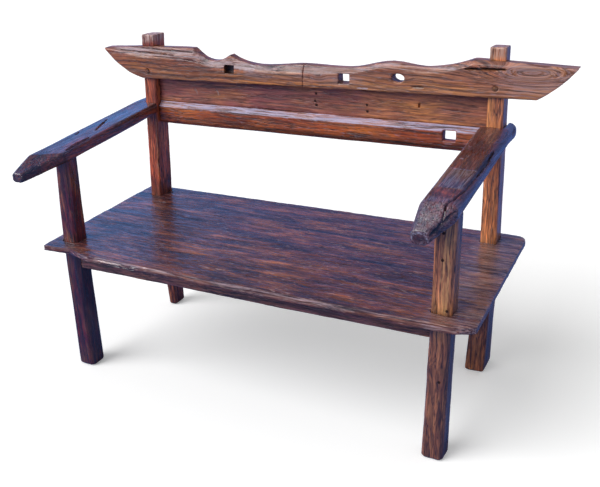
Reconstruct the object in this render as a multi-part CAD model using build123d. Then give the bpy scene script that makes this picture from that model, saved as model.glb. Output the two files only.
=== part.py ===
"""A rustic bench of reclaimed timber: four posts, a thin seat, two arms and a shaped back.

Millimetres. +X is the right-hand end seen from the front, -Y is the front and +Z is up. The origin lies
on the floor, below the middle of the bench's box: the crest rail sets the length, and the left arm's tip
and the seat's back edge set the depth.
"""
import os
from dataclasses import dataclass
from math import sqrt

from build123d import *

# Overall layout
BENCH_LENGTH = 1506.0  # crest rail, tip to tip
SEAT_HEIGHT = 430.0
SEAT_DEPTH = 620.0
ARM_REACH = 62.0  # left arm's tip in front of the seat's front edge
FRONT_LEFT_SETBACK = 100.0  # seat's front edge to the post's centre
FRONT_RIGHT_SETBACK = 85.0
BACK_SETBACK = 55.0  # seat's back edge to the back posts' centres

# Seat board
SEAT_THICK = 18.0
SEAT_LEFT_OVERHANG = 54.0  # past the left posts' centres, at the front
SEAT_RIGHT_OVERHANG = 96.0
SEAT_LEFT_SPLAY = 30.0  # how much further the left end reaches at the back
SEAT_FRONT_SWEEP = 8.0  # how far the front edge falls back at its left end
SEAT_BACK_RADIUS = 34.0
SEAT_CHIP_LENGTH = 46.0  # broken right front corner, along the front edge
SEAT_CHIP_DEPTH = 26.0
SEAT_CHIP_KNEE = (11.5, 15.5)  # bend in the break: inside the right end, behind the front edge
SEAT_BITE_LENGTH = 170.0  # splintered bite by the left front post, from the left end
SEAT_BITE_DEEPEST = 93.0  # from the left end
SEAT_BITE_DEPTH = 21.5
SEAT_BITE_END_DEPTH = 13.0  # at the left end

# Posts: width by depth at the foot, at the seat and at the head, and the sideways lean from the seat
FRONT_LEFT_FOOT = (61.0, 60.0)
FRONT_LEFT_WAIST = (57.0, 56.0)
FRONT_LEFT_HEAD = (49.0, 50.0)
FRONT_LEFT_LEAN = (-1.0, 12.5)  # at the foot, at the head
FRONT_LEFT_ARRIS = 9.0  # corners hewn off
FRONT_RIGHT_FOOT = (58.0, 57.0)
FRONT_RIGHT_WAIST = (53.0, 58.0)
FRONT_RIGHT_HEAD = (54.0, 58.0)
FRONT_RIGHT_LEAN = (-7.0, 1.5)
FRONT_RIGHT_ARRIS = 7.0
BACK_LEFT_FOOT = (28.0, 58.0)
BACK_LEFT_WAIST = (41.0, 72.0)
BACK_LEFT_HEAD = (47.0, 64.0)
BACK_LEFT_OUT = 6.5  # further out than the front post, at the seat
BACK_LEFT_LEAN = (21.5, 27.0)
BACK_LEFT_STUB = 138.0  # head above the crest's underside
BACK_RIGHT_FOOT = (59.0, 92.0)
BACK_RIGHT_WAIST = (47.0, 70.0)
BACK_RIGHT_HEAD = (44.0, 58.0)
BACK_RIGHT_LEAN = (-12.0, -9.5)
BACK_RIGHT_STUB = 146.0
BACK_ARRIS = 3.0
FOOT_BEVEL = 6.0

# Rails under the seat
APRON_HEIGHT = 68.0
APRON_THICK = 24.0
SIDE_RAIL_THICK = 20.0
SIDE_RAIL_OUT = 3.0  # further out than the middle of its posts
APRON_TENON_THICK = 12.0
APRON_TENON_LENGTH = 18.0
APRON_TENON_SHOULDER = 9.0  # above and below each tenon
APRON_PEG_DIAMETER = 8.0
APRON_PEG_BITE = 5.0  # peg's length past the tenon
APRON_PEG_STEP = 11.0  # aprons' pegs above the middle of the tenons, side rails' pegs below it
BATTEN_WIDTH = 70.0
BATTEN_THICK = 20.0
BATTEN_TENON_LENGTH = 10.0
BATTEN_TENON_THICK = 10.0

# Arms: heights are above the seat
LEFT_ARM_BACK_TOP = 327.0
LEFT_ARM_FRONT_TOP = 294.0
LEFT_ARM_THICK = 34.0
LEFT_ARM_WIDTH = 88.0  # beside the back post
LEFT_ARM_TAPER = 20.0  # narrower at the nose, on its outer side
LEFT_ARM_FLARE = 15.0  # wider at the nose, on its inner side
LEFT_ARM_INNER = 4.0  # inner edge past the back post's inner face
LEFT_ARM_ROUND = 9.0
LEFT_ARM_TIP = (34.0, 26.0)  # width and height of the tip's end face
LEFT_ARM_TIP_DROP = 36.0  # arm's top at the nose down to the top of the tip
LEFT_ARM_TIP_INSET = -8.0  # arm's outer edge at the nose to the tip's outer side
LEFT_ARM_NOSE = 60.0  # length of the tapering nose, on its outer side
LEFT_ARM_SKEW = 60.0  # how much longer the nose is on its inner side
LEFT_EAR_LENGTH = 88.0  # past the back post's front face
LEFT_EAR_DROP = 4.0  # how far the ear's end falls below the arm's line
RIGHT_ARM_BACK_TOP = 340.0
RIGHT_ARM_FRONT_TOP = 295.0
RIGHT_ARM_THICK = 50.0
RIGHT_ARM_WIDTH = 92.0
RIGHT_ARM_TAPER = 6.0
RIGHT_ARM_FLARE = 6.0
RIGHT_ARM_INNER = 24.0
RIGHT_ARM_ROUND = 20.0
RIGHT_ARM_TIP = (46.0, 34.0)
RIGHT_ARM_TIP_DROP = 53.0
RIGHT_ARM_TIP_INSET = 47.0
RIGHT_ARM_NOSE = 54.0
RIGHT_ARM_SKEW = 6.0
RIGHT_ARM_SHORTER = 40.0  # how far the right tip lies behind the left one
RIGHT_EAR_LENGTH = 84.0
RIGHT_EAR_DROP = 12.0
ARM_ROUND_LIMIT = 0.45  # largest edge round, as a share of the arm's thickness
ARM_HOUSING = 5.0  # front post's shoulder let into the arm
ARM_TENON_HEIGHT = 20.0
ARM_TENON_SIDE = 24.0
ARM_BACK_TENON_LENGTH = 17.0
ARM_BACK_TENON_HEIGHT = 16.0
ARM_PEG_DIAMETER = 9.0
ARM_PEG_BITE = 17.0  # peg's length inside the back post
ARM_PEG_PITCH = 22.0

# Crest rail: each row is the distance in from the tip, the height of the back lip and that of the front
# face, both from the underside. The bumpy top runs from the left tip to the joint and on to the right tip.
CREST_CLEAR = 68.0  # underside at the left, above the right arm's top
CREST_TILT = 17.0  # how much higher the underside is at the right
CREST_LEFT_REACH = 149.5  # tip past the left posts' centres at the seat
CREST_RIGHT_REACH = 200.5
CREST_LEFT_SWEEP = 148.0  # length of the swept-up left end
CREST_RIGHT_SWEEP = 98.0
CREST_LEFT_CURVE = (59.0, 36.0)  # point on the swept-up end: in from the tip, above the underside
CREST_RIGHT_CURVE = (45.0, 54.0)
CREST_DEPTH = 41.0
CREST_LIP = 12.0  # front face to the back lip
CREST_PROUD = 12.0  # front face in front of the back posts
CREST_LEFT_ROWS = [
    (0.0, 94.0, 92.0),
    (153.0, 102.0, 66.0),
    (343.0, 104.0, 73.0),
    (425.0, 70.0, 49.0),
    (476.0, 91.0, 56.0),
    (523.0, 71.0, 48.0),
]
CREST_JOINT = -24.0  # from the middle of the crest
CREST_JOINT_HEIGHTS = (73.5, 47.0)
CREST_RIGHT_ROWS = [
    (600.0, 76.0, 62.0),
    (510.0, 94.0, 80.0),
    (408.0, 84.0, 71.0),
    (361.0, 88.5, 75.0),
    (271.0, 113.0, 101.0),
    (0.0, 104.0, 102.0),
]
CREST_TONGUE_LENGTH = 120.0
CREST_TONGUE_THICK = 10.0
CREST_TONGUE_HEIGHT = 26.0
CREST_TONGUE_RISE = 12.0
CREST_PEG_DIAMETER = 14.0
CREST_PEG_RISE = 24.0  # above the underside
CREST_PEG_BITE = 18.0  # past the crest's back, in the post
CREST_PEG_PROUD = 1.5
CREST_SQUARE_HOLE = (646.0, 34.0, 28.0, 31.0)  # in from the right tip, width, height, rise of its middle
CREST_OVAL_HOLE = (481.0, 38.0, 24.0, 40.0)
CREST_BLIND_HOLE = (476.0, 33.0, 24.0, 42.0)  # the same, from the left tip
CREST_BLIND_DEPTH = 22.0

# Lower rail and panel of the back
PANEL_HEIGHT = 77.0  # ledge's top to the crest's underside at the left
PANEL_THICK = 15.0
PANEL_TENON_LENGTH = 11.0
PANEL_TENON_SHOULDER = 8.0
PANEL_TONGUE_DEPTH = 8.0
PANEL_TONGUE_THICK = 8.0
PANEL_CHINK = (189.0, 40.0, 7.0)  # daylight gap under the crest: right of the joint, width, depth
PANEL_SLOT = (226.5, 6.0, 16.0, 46.0)  # in from the right post's line, width, height, rise of its middle
PANEL_SLOT_DEPTH = 9.0
LEDGE_HEIGHT = 19.0
LEDGE_DEPTH = 12.0
RAIL_FACE = 56.0  # underside to the top of the front face
RAIL_DEPTH = 33.0
RAIL_SETBACK = 11.0  # behind the back posts' front faces
RAIL_UNDERCUT = 18.0  # rounded lower front edge
RAIL_TENON_LENGTH = 20.0
RAIL_TENON_THICK = 13.0
RAIL_TENON_SHOULDER = 14.0
RAIL_HOLE = (132.5, 38.0, 31.0, 45.0)

# Old nails: on the panel from the crest's joint and the ledge, and on the right front post from the seat
NAIL_HEAD_DIAMETER = 7.0
NAIL_HEAD_PROUD = 0.8
NAIL_SHANK_DIAMETER = 4.0
PANEL_NAIL_LENGTH = 11.0
PANEL_NAILS = [(27.0, 61.0), (23.0, 38.0), (27.0, 26.0), (191.0, 38.0), (192.0, 19.0)]
POST_NAIL_LENGTH = 34.0
POST_NAILS = [(-3.0, 140.0), (14.0, 10.0), (-4.0, 208.0), (7.0, -191.0)]

# Clearances
JOINT_GAP = 0.3
SEAT_GAP = 0.5
PANEL_GAP = 1.0
PEG_GAP = 0.2

# Places that follow from the sizes above
OVERALL_DEPTH = SEAT_DEPTH + ARM_REACH
ARM_TIP = -OVERALL_DEPTH / 2
SEAT_FRONT = ARM_TIP + ARM_REACH
SEAT_BACK = OVERALL_DEPTH / 2
CREST_LEFT_TIP = -BENCH_LENGTH / 2
CREST_RIGHT_TIP = BENCH_LENGTH / 2
LEFT_LINE = CREST_LEFT_TIP + CREST_LEFT_REACH
RIGHT_LINE = CREST_RIGHT_TIP - CREST_RIGHT_REACH
POST_MIDDLE = (LEFT_LINE + RIGHT_LINE) / 2
SEAT_UNDER = SEAT_HEIGHT - SEAT_THICK
APRON_UNDER = SEAT_UNDER - APRON_HEIGHT
APRON_LEVEL = SEAT_UNDER - APRON_HEIGHT / 2
CREST_BASE = SEAT_HEIGHT + RIGHT_ARM_BACK_TOP + CREST_CLEAR
LEDGE_TOP = CREST_BASE - PANEL_HEIGHT
RAIL_FACE_TOP = LEDGE_TOP - LEDGE_HEIGHT
RAIL_UNDER = RAIL_FACE_TOP - RAIL_FACE
RAIL_LEVEL = RAIL_UNDER + RAIL_FACE / 2


def between(a, b, t):
    """Return the value a share of the way from one number to another."""
    return a + (b - a) * t


def block(low, high, grow=0.0):
    """Return the box between two corners, grown on every side."""
    size = [b - a + 2 * grow for a, b in zip(low, high)]
    middle = [(a + b) / 2 for a, b in zip(low, high)]
    return Pos(*middle) * Box(*size)


def rod(start, direction, length, diameter):
    """Return a round bar from a point along a direction."""
    return Plane(start, z_dir=direction) * Cylinder(
        diameter / 2, length, align=(Align.CENTER, Align.CENTER, Align.MIN)
    )


def peg(start, direction, length, diameter):
    """Return a peg driven from a point along a direction, and the hole that it needs."""
    mouth = tuple(s - d * diameter for s, d in zip(start, direction))
    hole = rod(mouth, direction, length + diameter + PEG_GAP, diameter + 2 * PEG_GAP)
    return rod(start, direction, length, diameter), hole


def nail(point, length):
    """Return a nail driven along +Y, and the hole that it needs."""
    x, y, z = point
    inward = (0, 1, 0)
    head, head_seat = peg((x, y - NAIL_HEAD_PROUD, z), inward, 2 * NAIL_HEAD_PROUD, NAIL_HEAD_DIAMETER)
    shank, bore = peg(point, inward, length, NAIL_SHANK_DIAMETER)
    return head + shank, head_seat + bore


def hole_block(x, spec, base, front, depth):
    """Return the cutter of a square hole from its middle's x, its sizes and the height below it."""
    width, height, rise = spec[1:]
    return block(
        (x - width / 2, front, base + rise - height / 2),
        (x + width / 2, front + depth, base + rise + height / 2),
    )


# Posts
@dataclass
class Section:
    """A level rectangle of a post: its height, centre, width along X and depth along Y."""

    z: float
    x: float
    y: float
    width: float
    depth: float


@dataclass
class Post:
    """A post that tapers and leans between its foot, the seat and its head."""

    sections: list
    arris: float

    def at(self, z):
        """Return the section at a height, between or beyond the given ones."""
        pairs = list(zip(self.sections, self.sections[1:]))
        low, high = next((p for p in pairs if z <= p[1].z), pairs[-1])
        t = (z - low.z) / (high.z - low.z)
        return Section(
            z,
            between(low.x, high.x, t),
            between(low.y, high.y, t),
            between(low.width, high.width, t),
            between(low.depth, high.depth, t),
        )

    def side(self, z, direction):
        """Return the x of the face at a height, on the side that a sign names."""
        s = self.at(z)
        return s.x + direction * s.width / 2

    def face(self, z, direction):
        """Return the y of the face at a height: -1 is the front and 1 the back."""
        s = self.at(z)
        return s.y + direction * s.depth / 2

    def shaft(self, bottom, top, left=0.0, right=0.0, front=0.0, back=0.0, arris=None):
        """Return the solid between two heights, with each side moved out by a given amount."""
        cut = self.arris if arris is None else arris
        levels = [bottom] + [s.z for s in self.sections if bottom < s.z < top] + [top]
        return loft([outline(self.at(z), cut, left, right, front, back) for z in levels], ruled=True)

    def timber(self, top):
        """Return the post's timber from the floor up, with a bevelled foot."""
        foot = self.at(0.0)
        worn = Section(0.0, foot.x, foot.y, foot.width - 2 * FOOT_BEVEL, foot.depth - 2 * FOOT_BEVEL)
        bevel = loft([outline(worn, self.arris), outline(self.at(FOOT_BEVEL), self.arris)], ruled=True)
        return bevel + self.shaft(FOOT_BEVEL, top)


def outline(s, cut, left=0.0, right=0.0, front=0.0, back=0.0):
    """Return the level face of a section, with its sides moved out and its four corners cut off."""
    x0 = s.x - s.width / 2 - left
    x1 = s.x + s.width / 2 + right
    y0 = s.y - s.depth / 2 - front
    y1 = s.y + s.depth / 2 + back
    if cut:
        corners = [
            (x0 + cut, y0), (x1 - cut, y0), (x1, y0 + cut), (x1, y1 - cut),
            (x1 - cut, y1), (x0 + cut, y1), (x0, y1 - cut), (x0, y0 + cut),
        ]
    else:
        corners = [(x0, y0), (x1, y0), (x1, y1), (x0, y1)]
    return make_face(Polyline(*[(x, y, s.z) for x, y in corners], close=True))


def make_post(line, y, foot, waist, head, lean, head_z, arris):
    """Return a post from its sizes at three levels and its lean from the seat to each end."""
    return Post(
        [
            Section(0.0, line + lean[0], y, foot[0], foot[1]),
            Section(SEAT_HEIGHT, line, y, waist[0], waist[1]),
            Section(head_z, line + lean[1], y, head[0], head[1]),
        ],
        arris,
    )


front_left = make_post(
    LEFT_LINE, SEAT_FRONT + FRONT_LEFT_SETBACK, FRONT_LEFT_FOOT, FRONT_LEFT_WAIST, FRONT_LEFT_HEAD,
    FRONT_LEFT_LEAN, SEAT_HEIGHT + LEFT_ARM_FRONT_TOP, FRONT_LEFT_ARRIS,
)
front_right = make_post(
    RIGHT_LINE, SEAT_FRONT + FRONT_RIGHT_SETBACK, FRONT_RIGHT_FOOT, FRONT_RIGHT_WAIST, FRONT_RIGHT_HEAD,
    FRONT_RIGHT_LEAN, SEAT_HEIGHT + RIGHT_ARM_FRONT_TOP, FRONT_RIGHT_ARRIS,
)
back_left = make_post(
    LEFT_LINE - BACK_LEFT_OUT, SEAT_BACK - BACK_SETBACK, BACK_LEFT_FOOT, BACK_LEFT_WAIST, BACK_LEFT_HEAD,
    BACK_LEFT_LEAN, CREST_BASE + BACK_LEFT_STUB, BACK_ARRIS,
)
back_right = make_post(
    RIGHT_LINE, SEAT_BACK - BACK_SETBACK, BACK_RIGHT_FOOT, BACK_RIGHT_WAIST, BACK_RIGHT_HEAD,
    BACK_RIGHT_LEAN, CREST_BASE + BACK_RIGHT_STUB, BACK_ARRIS,
)
lines = {
    "front_left_post": front_left,
    "front_right_post": front_right,
    "back_left_post": back_left,
    "back_right_post": back_right,
}


# Arms
@dataclass
class Arm:
    """An arm runs from its tip, over the front post, to an ear beside the back post."""

    sign: int  # -1 at the left end of the bench, 1 at the right
    front: Post
    back: Post
    front_top: float
    back_top: float
    thick: float
    width: float
    taper: float
    flare: float
    inner: float
    edge_round: float
    tip: tuple
    tip_drop: float
    tip_inset: float
    tip_y: float
    nose: float
    skew: float
    ear: float
    ear_drop: float

    @property
    def level(self):
        """Return the height of the arm's middle at its back."""
        return SEAT_HEIGHT + self.back_top - self.thick / 2

    @property
    def butt(self):
        """Return the y of the back post's front face, where the arm ends."""
        return self.back.face(self.level, -1)

    @property
    def inner_x(self):
        """Return the x of the arm's inner edge beside the back post."""
        return self.back.side(self.level, -self.sign) - self.sign * self.inner

    @property
    def outer_x(self):
        """Return the x of the arm's outer edge beside the back post."""
        return self.inner_x + self.sign * self.width

    def top(self, y):
        """Return the height of the arm's top at a place along it."""
        front_y = self.front.at(SEAT_HEIGHT).y
        share = (y - front_y) / (self.butt - front_y)
        return SEAT_HEIGHT + between(self.front_top, self.back_top, share)

    def station(self, y, outer, inner, top, thick, skew=0.0):
        """Return the upright face of the arm at a place along it, turned back at its inner edge."""
        across = Vector(inner - outer, skew, 0)
        middle = Vector((outer + inner) / 2, y + skew / 2, top - thick / 2)
        plane = Plane(middle, x_dir=across * self.sign, z_dir=across.cross(Vector(0, 0, 1)) * self.sign)
        radius = min(self.edge_round, ARM_ROUND_LIMIT * thick)
        return plane * RectangleRounded(across.length, thick, radius)

    def timber(self):
        """Return the arm before its joints are cut."""
        nose_y = self.tip_y + self.nose
        nose_outer = self.outer_x - self.sign * self.taper
        nose_inner = self.inner_x - self.sign * self.flare
        nose_top = self.top(nose_y)
        tip_outer = nose_outer - self.sign * self.tip_inset
        tip_inner = tip_outer - self.sign * self.tip[0]
        ear_y = self.butt + self.ear
        ear_top = self.top(ear_y) - self.ear_drop
        return loft(
            [
                self.station(self.tip_y, tip_outer, tip_inner, nose_top - self.tip_drop, self.tip[1]),
                self.station(nose_y, nose_outer, nose_inner, nose_top, self.thick, self.skew),
                self.station(self.butt, self.outer_x, self.inner_x, self.top(self.butt), self.thick),
                self.station(ear_y, self.outer_x, self.inner_x, ear_top, self.thick),
            ],
            ruled=True,
        )

    def housing(self):
        """Return the space of the back post, and of all that lies inward of it and behind it."""
        reach = self.width + self.ear
        low = self.level - self.thick - self.ear
        high = self.level + self.thick + self.ear
        left, right = (JOINT_GAP, reach) if self.sign < 0 else (reach, JOINT_GAP)
        return self.back.shaft(low, high, left=left, right=right, back=reach, arris=0)

    def bearing(self):
        """Return the height of the front post's shoulder in the arm."""
        return self.top(self.front.face(SEAT_HEIGHT, -1)) - self.thick + ARM_HOUSING

    def post_tenon(self, grow=0.0):
        """Return the tenon on the front post, or its mortise when grown."""
        z = self.bearing()
        s = self.front.at(z)
        half = ARM_TENON_SIDE / 2
        low = (s.x - half, s.y - half, z - half)
        high = (s.x + half, s.y + half, z + ARM_TENON_HEIGHT)
        return block(low, high, grow)

    def back_tenon(self, grow=0.0):
        """Return the tenon on the arm's back end, or its mortise when grown."""
        x = self.back.at(self.level).x
        half = ARM_TENON_SIDE / 2
        rise = ARM_BACK_TENON_HEIGHT / 2
        low = (x - half, self.butt - half, self.level - rise)
        high = (x + half, self.butt + ARM_BACK_TENON_LENGTH, self.level + rise)
        return block(low, high, grow)

    def pegs(self):
        """Return the two pegs through the ear into the back post, each with its hole."""
        centre = self.back.at(self.level).y
        wall = self.back.side(self.level, self.sign)
        length = abs(self.outer_x - wall) + ARM_PEG_BITE
        return [
            peg((self.outer_x, y, self.top(y) - self.thick / 2), (-self.sign, 0, 0), length, ARM_PEG_DIAMETER)
            for y in (centre, centre + ARM_PEG_PITCH)
        ]


left = Arm(
    -1, front_left, back_left, LEFT_ARM_FRONT_TOP, LEFT_ARM_BACK_TOP, LEFT_ARM_THICK, LEFT_ARM_WIDTH,
    LEFT_ARM_TAPER, LEFT_ARM_FLARE, LEFT_ARM_INNER, LEFT_ARM_ROUND, LEFT_ARM_TIP, LEFT_ARM_TIP_DROP,
    LEFT_ARM_TIP_INSET, ARM_TIP, LEFT_ARM_NOSE, LEFT_ARM_SKEW, LEFT_EAR_LENGTH, LEFT_EAR_DROP,
)
right = Arm(
    1, front_right, back_right, RIGHT_ARM_FRONT_TOP, RIGHT_ARM_BACK_TOP, RIGHT_ARM_THICK, RIGHT_ARM_WIDTH,
    RIGHT_ARM_TAPER, RIGHT_ARM_FLARE, RIGHT_ARM_INNER, RIGHT_ARM_ROUND, RIGHT_ARM_TIP, RIGHT_ARM_TIP_DROP,
    RIGHT_ARM_TIP_INSET, ARM_TIP + RIGHT_ARM_SHORTER, RIGHT_ARM_NOSE, RIGHT_ARM_SKEW, RIGHT_EAR_LENGTH,
    RIGHT_EAR_DROP,
)

# Crest rail
CREST_MIDDLE = CREST_BASE + (CREST_JOINT_HEIGHTS[0] + CREST_TILT) / 2
CREST_FRONT = min(p.face(CREST_MIDDLE, -1) for p in (back_left, back_right)) - CREST_PROUD
CREST_UNDER_LEFT = CREST_LEFT_TIP + CREST_LEFT_SWEEP
CREST_UNDER_RIGHT = CREST_RIGHT_TIP - CREST_RIGHT_SWEEP


def crest_under(x):
    """Return the height of the crest's sloping underside."""
    share = (x - CREST_UNDER_LEFT) / (CREST_UNDER_RIGHT - CREST_UNDER_LEFT)
    return CREST_BASE + CREST_TILT * share


def crest_outline(y, column):
    """Return the crest's upright face at a depth: column 1 is the back lip and 2 the front face."""
    left_tip, brow, shoulder, dip, peak, trough = [
        (CREST_LEFT_TIP + row[0], y, CREST_BASE + row[column]) for row in CREST_LEFT_ROWS
    ]
    joint = (CREST_JOINT, y, CREST_BASE + CREST_JOINT_HEIGHTS[column - 1])
    slope, bump, hollow, climb, crown, right_tip = [
        (CREST_RIGHT_TIP - row[0], y, CREST_BASE + row[column]) for row in CREST_RIGHT_ROWS
    ]
    under_left = (CREST_UNDER_LEFT, y, CREST_BASE)
    under_right = (CREST_UNDER_RIGHT, y, CREST_BASE + CREST_TILT)
    left_curve = (CREST_LEFT_TIP + CREST_LEFT_CURVE[0], y, CREST_BASE + CREST_LEFT_CURVE[1])
    right_curve = (CREST_RIGHT_TIP - CREST_RIGHT_CURVE[0], y, CREST_BASE + CREST_RIGHT_CURVE[1])
    return make_face([
        Line(under_left, under_right),
        ThreePointArc(under_right, right_curve, right_tip),
        Line(right_tip, crown),
        Spline(crown, climb, hollow, bump, slope, joint, trough, peak),
        Spline(peak, dip, shoulder),
        Polyline(shoulder, brow, left_tip),
        ThreePointArc(left_tip, left_curve, under_left),
    ])


lip = crest_outline(CREST_FRONT + CREST_LIP, 1)
crest = loft([crest_outline(CREST_FRONT, 2), lip], ruled=True)
crest += extrude(lip, amount=CREST_DEPTH - CREST_LIP, dir=(0, 1, 0))

# Timber of the posts, with the crest let into the back ones
posts = {
    "front_left_post": front_left.timber(left.bearing()) + left.post_tenon(),
    "front_right_post": front_right.timber(right.bearing()) + right.post_tenon(),
    "back_left_post": back_left.timber(CREST_BASE + BACK_LEFT_STUB) - crest,
    "back_right_post": back_right.timber(CREST_BASE + BACK_RIGHT_STUB) - crest,
}

# Old holes in the crest
crest_ahead = CREST_FRONT - CREST_LIP
crest_through = CREST_DEPTH + 2 * CREST_LIP
square_x = CREST_RIGHT_TIP - CREST_SQUARE_HOLE[0]
blind_x = CREST_LEFT_TIP + CREST_BLIND_HOLE[0]
blind_depth = CREST_LIP + CREST_BLIND_DEPTH
crest -= hole_block(square_x, CREST_SQUARE_HOLE, crest_under(square_x), crest_ahead, crest_through)
crest -= hole_block(blind_x, CREST_BLIND_HOLE, crest_under(blind_x), crest_ahead, blind_depth)
oval_inset, oval_width, oval_height, oval_rise = CREST_OVAL_HOLE
oval_x = CREST_RIGHT_TIP - oval_inset
oval_plane = Plane((oval_x, crest_ahead, crest_under(oval_x) + oval_rise), x_dir=(1, 0, 0), z_dir=(0, 1, 0))
crest -= extrude(oval_plane * Ellipse(oval_width / 2, oval_height / 2), amount=crest_through)

# Loose tongue across the butt joint of the crest's two halves
tongue_y = CREST_FRONT + CREST_LIP + (CREST_DEPTH - CREST_LIP - CREST_TONGUE_THICK) / 2
tongue_z = crest_under(CREST_JOINT) + CREST_TONGUE_RISE
tongue_low = (CREST_JOINT - CREST_TONGUE_LENGTH / 2, tongue_y, tongue_z)
tongue_high = (
    CREST_JOINT + CREST_TONGUE_LENGTH / 2,
    tongue_y + CREST_TONGUE_THICK,
    tongue_z + CREST_TONGUE_HEIGHT,
)
crest_tongue = block(tongue_low, tongue_high)
crest -= block(tongue_low, tongue_high, JOINT_GAP)

# Pegs through the crest into the back posts
crest_pegs = []
for name in ("back_left_post", "back_right_post"):
    peg_x = lines[name].at(CREST_MIDDLE).x
    peg_start = (peg_x, CREST_FRONT - CREST_PEG_PROUD, crest_under(peg_x) + CREST_PEG_RISE)
    peg_length = CREST_PEG_PROUD + CREST_DEPTH + CREST_PEG_BITE
    piece, hole = peg(peg_start, (0, 1, 0), peg_length, CREST_PEG_DIAMETER)
    crest_pegs.append(piece)
    crest -= hole
    posts[name] -= hole

right_of_joint = block(
    (CREST_JOINT, crest_ahead, CREST_BASE - CREST_DEPTH),
    (CREST_RIGHT_TIP + CREST_DEPTH, crest_ahead + crest_through, CREST_BASE + BENCH_LENGTH),
)
crest_left = crest - right_of_joint
crest_right = crest & right_of_joint

# Lower rail of the back, with a bevelled ledge on top and a rounded lower front edge
RAIL_FRONT = max(p.face(RAIL_LEVEL, -1) for p in (back_left, back_right)) + RAIL_SETBACK
PANEL_FRONT = RAIL_FRONT + LEDGE_DEPTH
rail_start = back_left.at(RAIL_LEVEL).x
rail_end = back_right.at(RAIL_LEVEL).x
undercut_mid = RAIL_UNDERCUT * (1 - sqrt(0.5))
rail_face = make_face([
    Polyline(
        (rail_start, RAIL_FRONT + RAIL_UNDERCUT, RAIL_UNDER),
        (rail_start, RAIL_FRONT + RAIL_DEPTH, RAIL_UNDER),
        (rail_start, RAIL_FRONT + RAIL_DEPTH, LEDGE_TOP),
        (rail_start, PANEL_FRONT, LEDGE_TOP),
        (rail_start, RAIL_FRONT, RAIL_FACE_TOP),
        (rail_start, RAIL_FRONT, RAIL_UNDER + RAIL_UNDERCUT),
    ),
    ThreePointArc(
        (rail_start, RAIL_FRONT, RAIL_UNDER + RAIL_UNDERCUT),
        (rail_start, RAIL_FRONT + undercut_mid, RAIL_UNDER + undercut_mid),
        (rail_start, RAIL_FRONT + RAIL_UNDERCUT, RAIL_UNDER),
    ),
])
lower_back_rail = extrude(rail_face, amount=rail_end - rail_start, dir=(1, 0, 0))
rail_hole_x = RIGHT_LINE - RAIL_HOLE[0]
lower_back_rail -= hole_block(rail_hole_x, RAIL_HOLE, RAIL_UNDER, PANEL_FRONT - RAIL_DEPTH, 2 * RAIL_DEPTH)

# Back panel, cut to the crest's slope, with a daylight gap along its top edge and a slot in its face
panel_top = make_face(Polyline(
    (rail_start, PANEL_FRONT, LEDGE_TOP),
    (rail_end, PANEL_FRONT, LEDGE_TOP),
    (rail_end, PANEL_FRONT, crest_under(rail_end) - PANEL_GAP),
    (rail_start, PANEL_FRONT, crest_under(rail_start) - PANEL_GAP),
    close=True,
))
back_panel = extrude(panel_top, amount=PANEL_THICK, dir=(0, 1, 0))
chink_offset, chink_width, chink_depth = PANEL_CHINK
chink_x = CREST_JOINT + chink_offset
chink_z = crest_under(chink_x) - PANEL_GAP
chink_left = (chink_x - chink_width / 2, PANEL_FRONT, chink_z + chink_depth)
chink_right = (chink_x + chink_width / 2, PANEL_FRONT, chink_z + chink_depth)
chink = make_face([
    ThreePointArc(chink_left, (chink_x, PANEL_FRONT, chink_z - chink_depth), chink_right),
    Line(chink_right, chink_left),
])
back_panel -= extrude(chink, amount=PANEL_THICK, dir=(0, 1, 0))
slot_x = RIGHT_LINE - PANEL_SLOT[0]
back_panel -= hole_block(slot_x, PANEL_SLOT, LEDGE_TOP, PANEL_FRONT, PANEL_SLOT_DEPTH)
for post in (back_left, back_right):
    shaft = post.shaft(RAIL_UNDER - RAIL_FACE, CREST_BASE + CREST_TILT + CREST_DEPTH)
    lower_back_rail -= shaft
    back_panel -= shaft

# Tongue along the panel's lower edge, in a groove of the rail
panel_middle = PANEL_FRONT + PANEL_THICK / 2
tongue_half = PANEL_TONGUE_THICK / 2
inner_left = max(back_left.side(z, 1) for z in (RAIL_UNDER, LEDGE_TOP)) + tongue_half
inner_right = min(back_right.side(z, -1) for z in (RAIL_UNDER, LEDGE_TOP)) - tongue_half
panel_tongue_low = (inner_left, panel_middle - tongue_half, LEDGE_TOP - PANEL_TONGUE_DEPTH)
panel_tongue_high = (inner_right, panel_middle + tongue_half, LEDGE_TOP + tongue_half)
back_panel += block(panel_tongue_low, panel_tongue_high)
lower_back_rail -= block(panel_tongue_low, panel_tongue_high, JOINT_GAP)

# Tenons of the rail and the panel in the back posts
rail_middle = RAIL_FRONT + RAIL_DEPTH / 2
rail_tenon_span = (RAIL_UNDER + RAIL_TENON_SHOULDER, RAIL_FACE_TOP - RAIL_TENON_SHOULDER)
panel_tenon_span = (LEDGE_TOP + PANEL_TENON_SHOULDER, CREST_BASE - PANEL_GAP - PANEL_TENON_SHOULDER)


def back_tenon(post, inward, span, y, thick, length):
    """Return the low and high corners of a tenon that enters a back post's inner side."""
    wall = post.side(sum(span) / 2, inward)
    x0, x1 = sorted((wall - inward * length, wall + inward * thick))
    return (x0, y - thick / 2, span[0]), (x1, y + thick / 2, span[1])


for name, inward in (("back_left_post", 1), ("back_right_post", -1)):
    rail_tenon = back_tenon(
        lines[name], inward, rail_tenon_span, rail_middle, RAIL_TENON_THICK, RAIL_TENON_LENGTH
    )
    panel_tenon = back_tenon(
        lines[name], inward, panel_tenon_span, panel_middle, PANEL_TONGUE_THICK, PANEL_TENON_LENGTH
    )
    lower_back_rail += block(*rail_tenon)
    back_panel += block(*panel_tenon)
    posts[name] -= block(*rail_tenon, JOINT_GAP)
    posts[name] -= block(*panel_tenon, JOINT_GAP)

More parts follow.
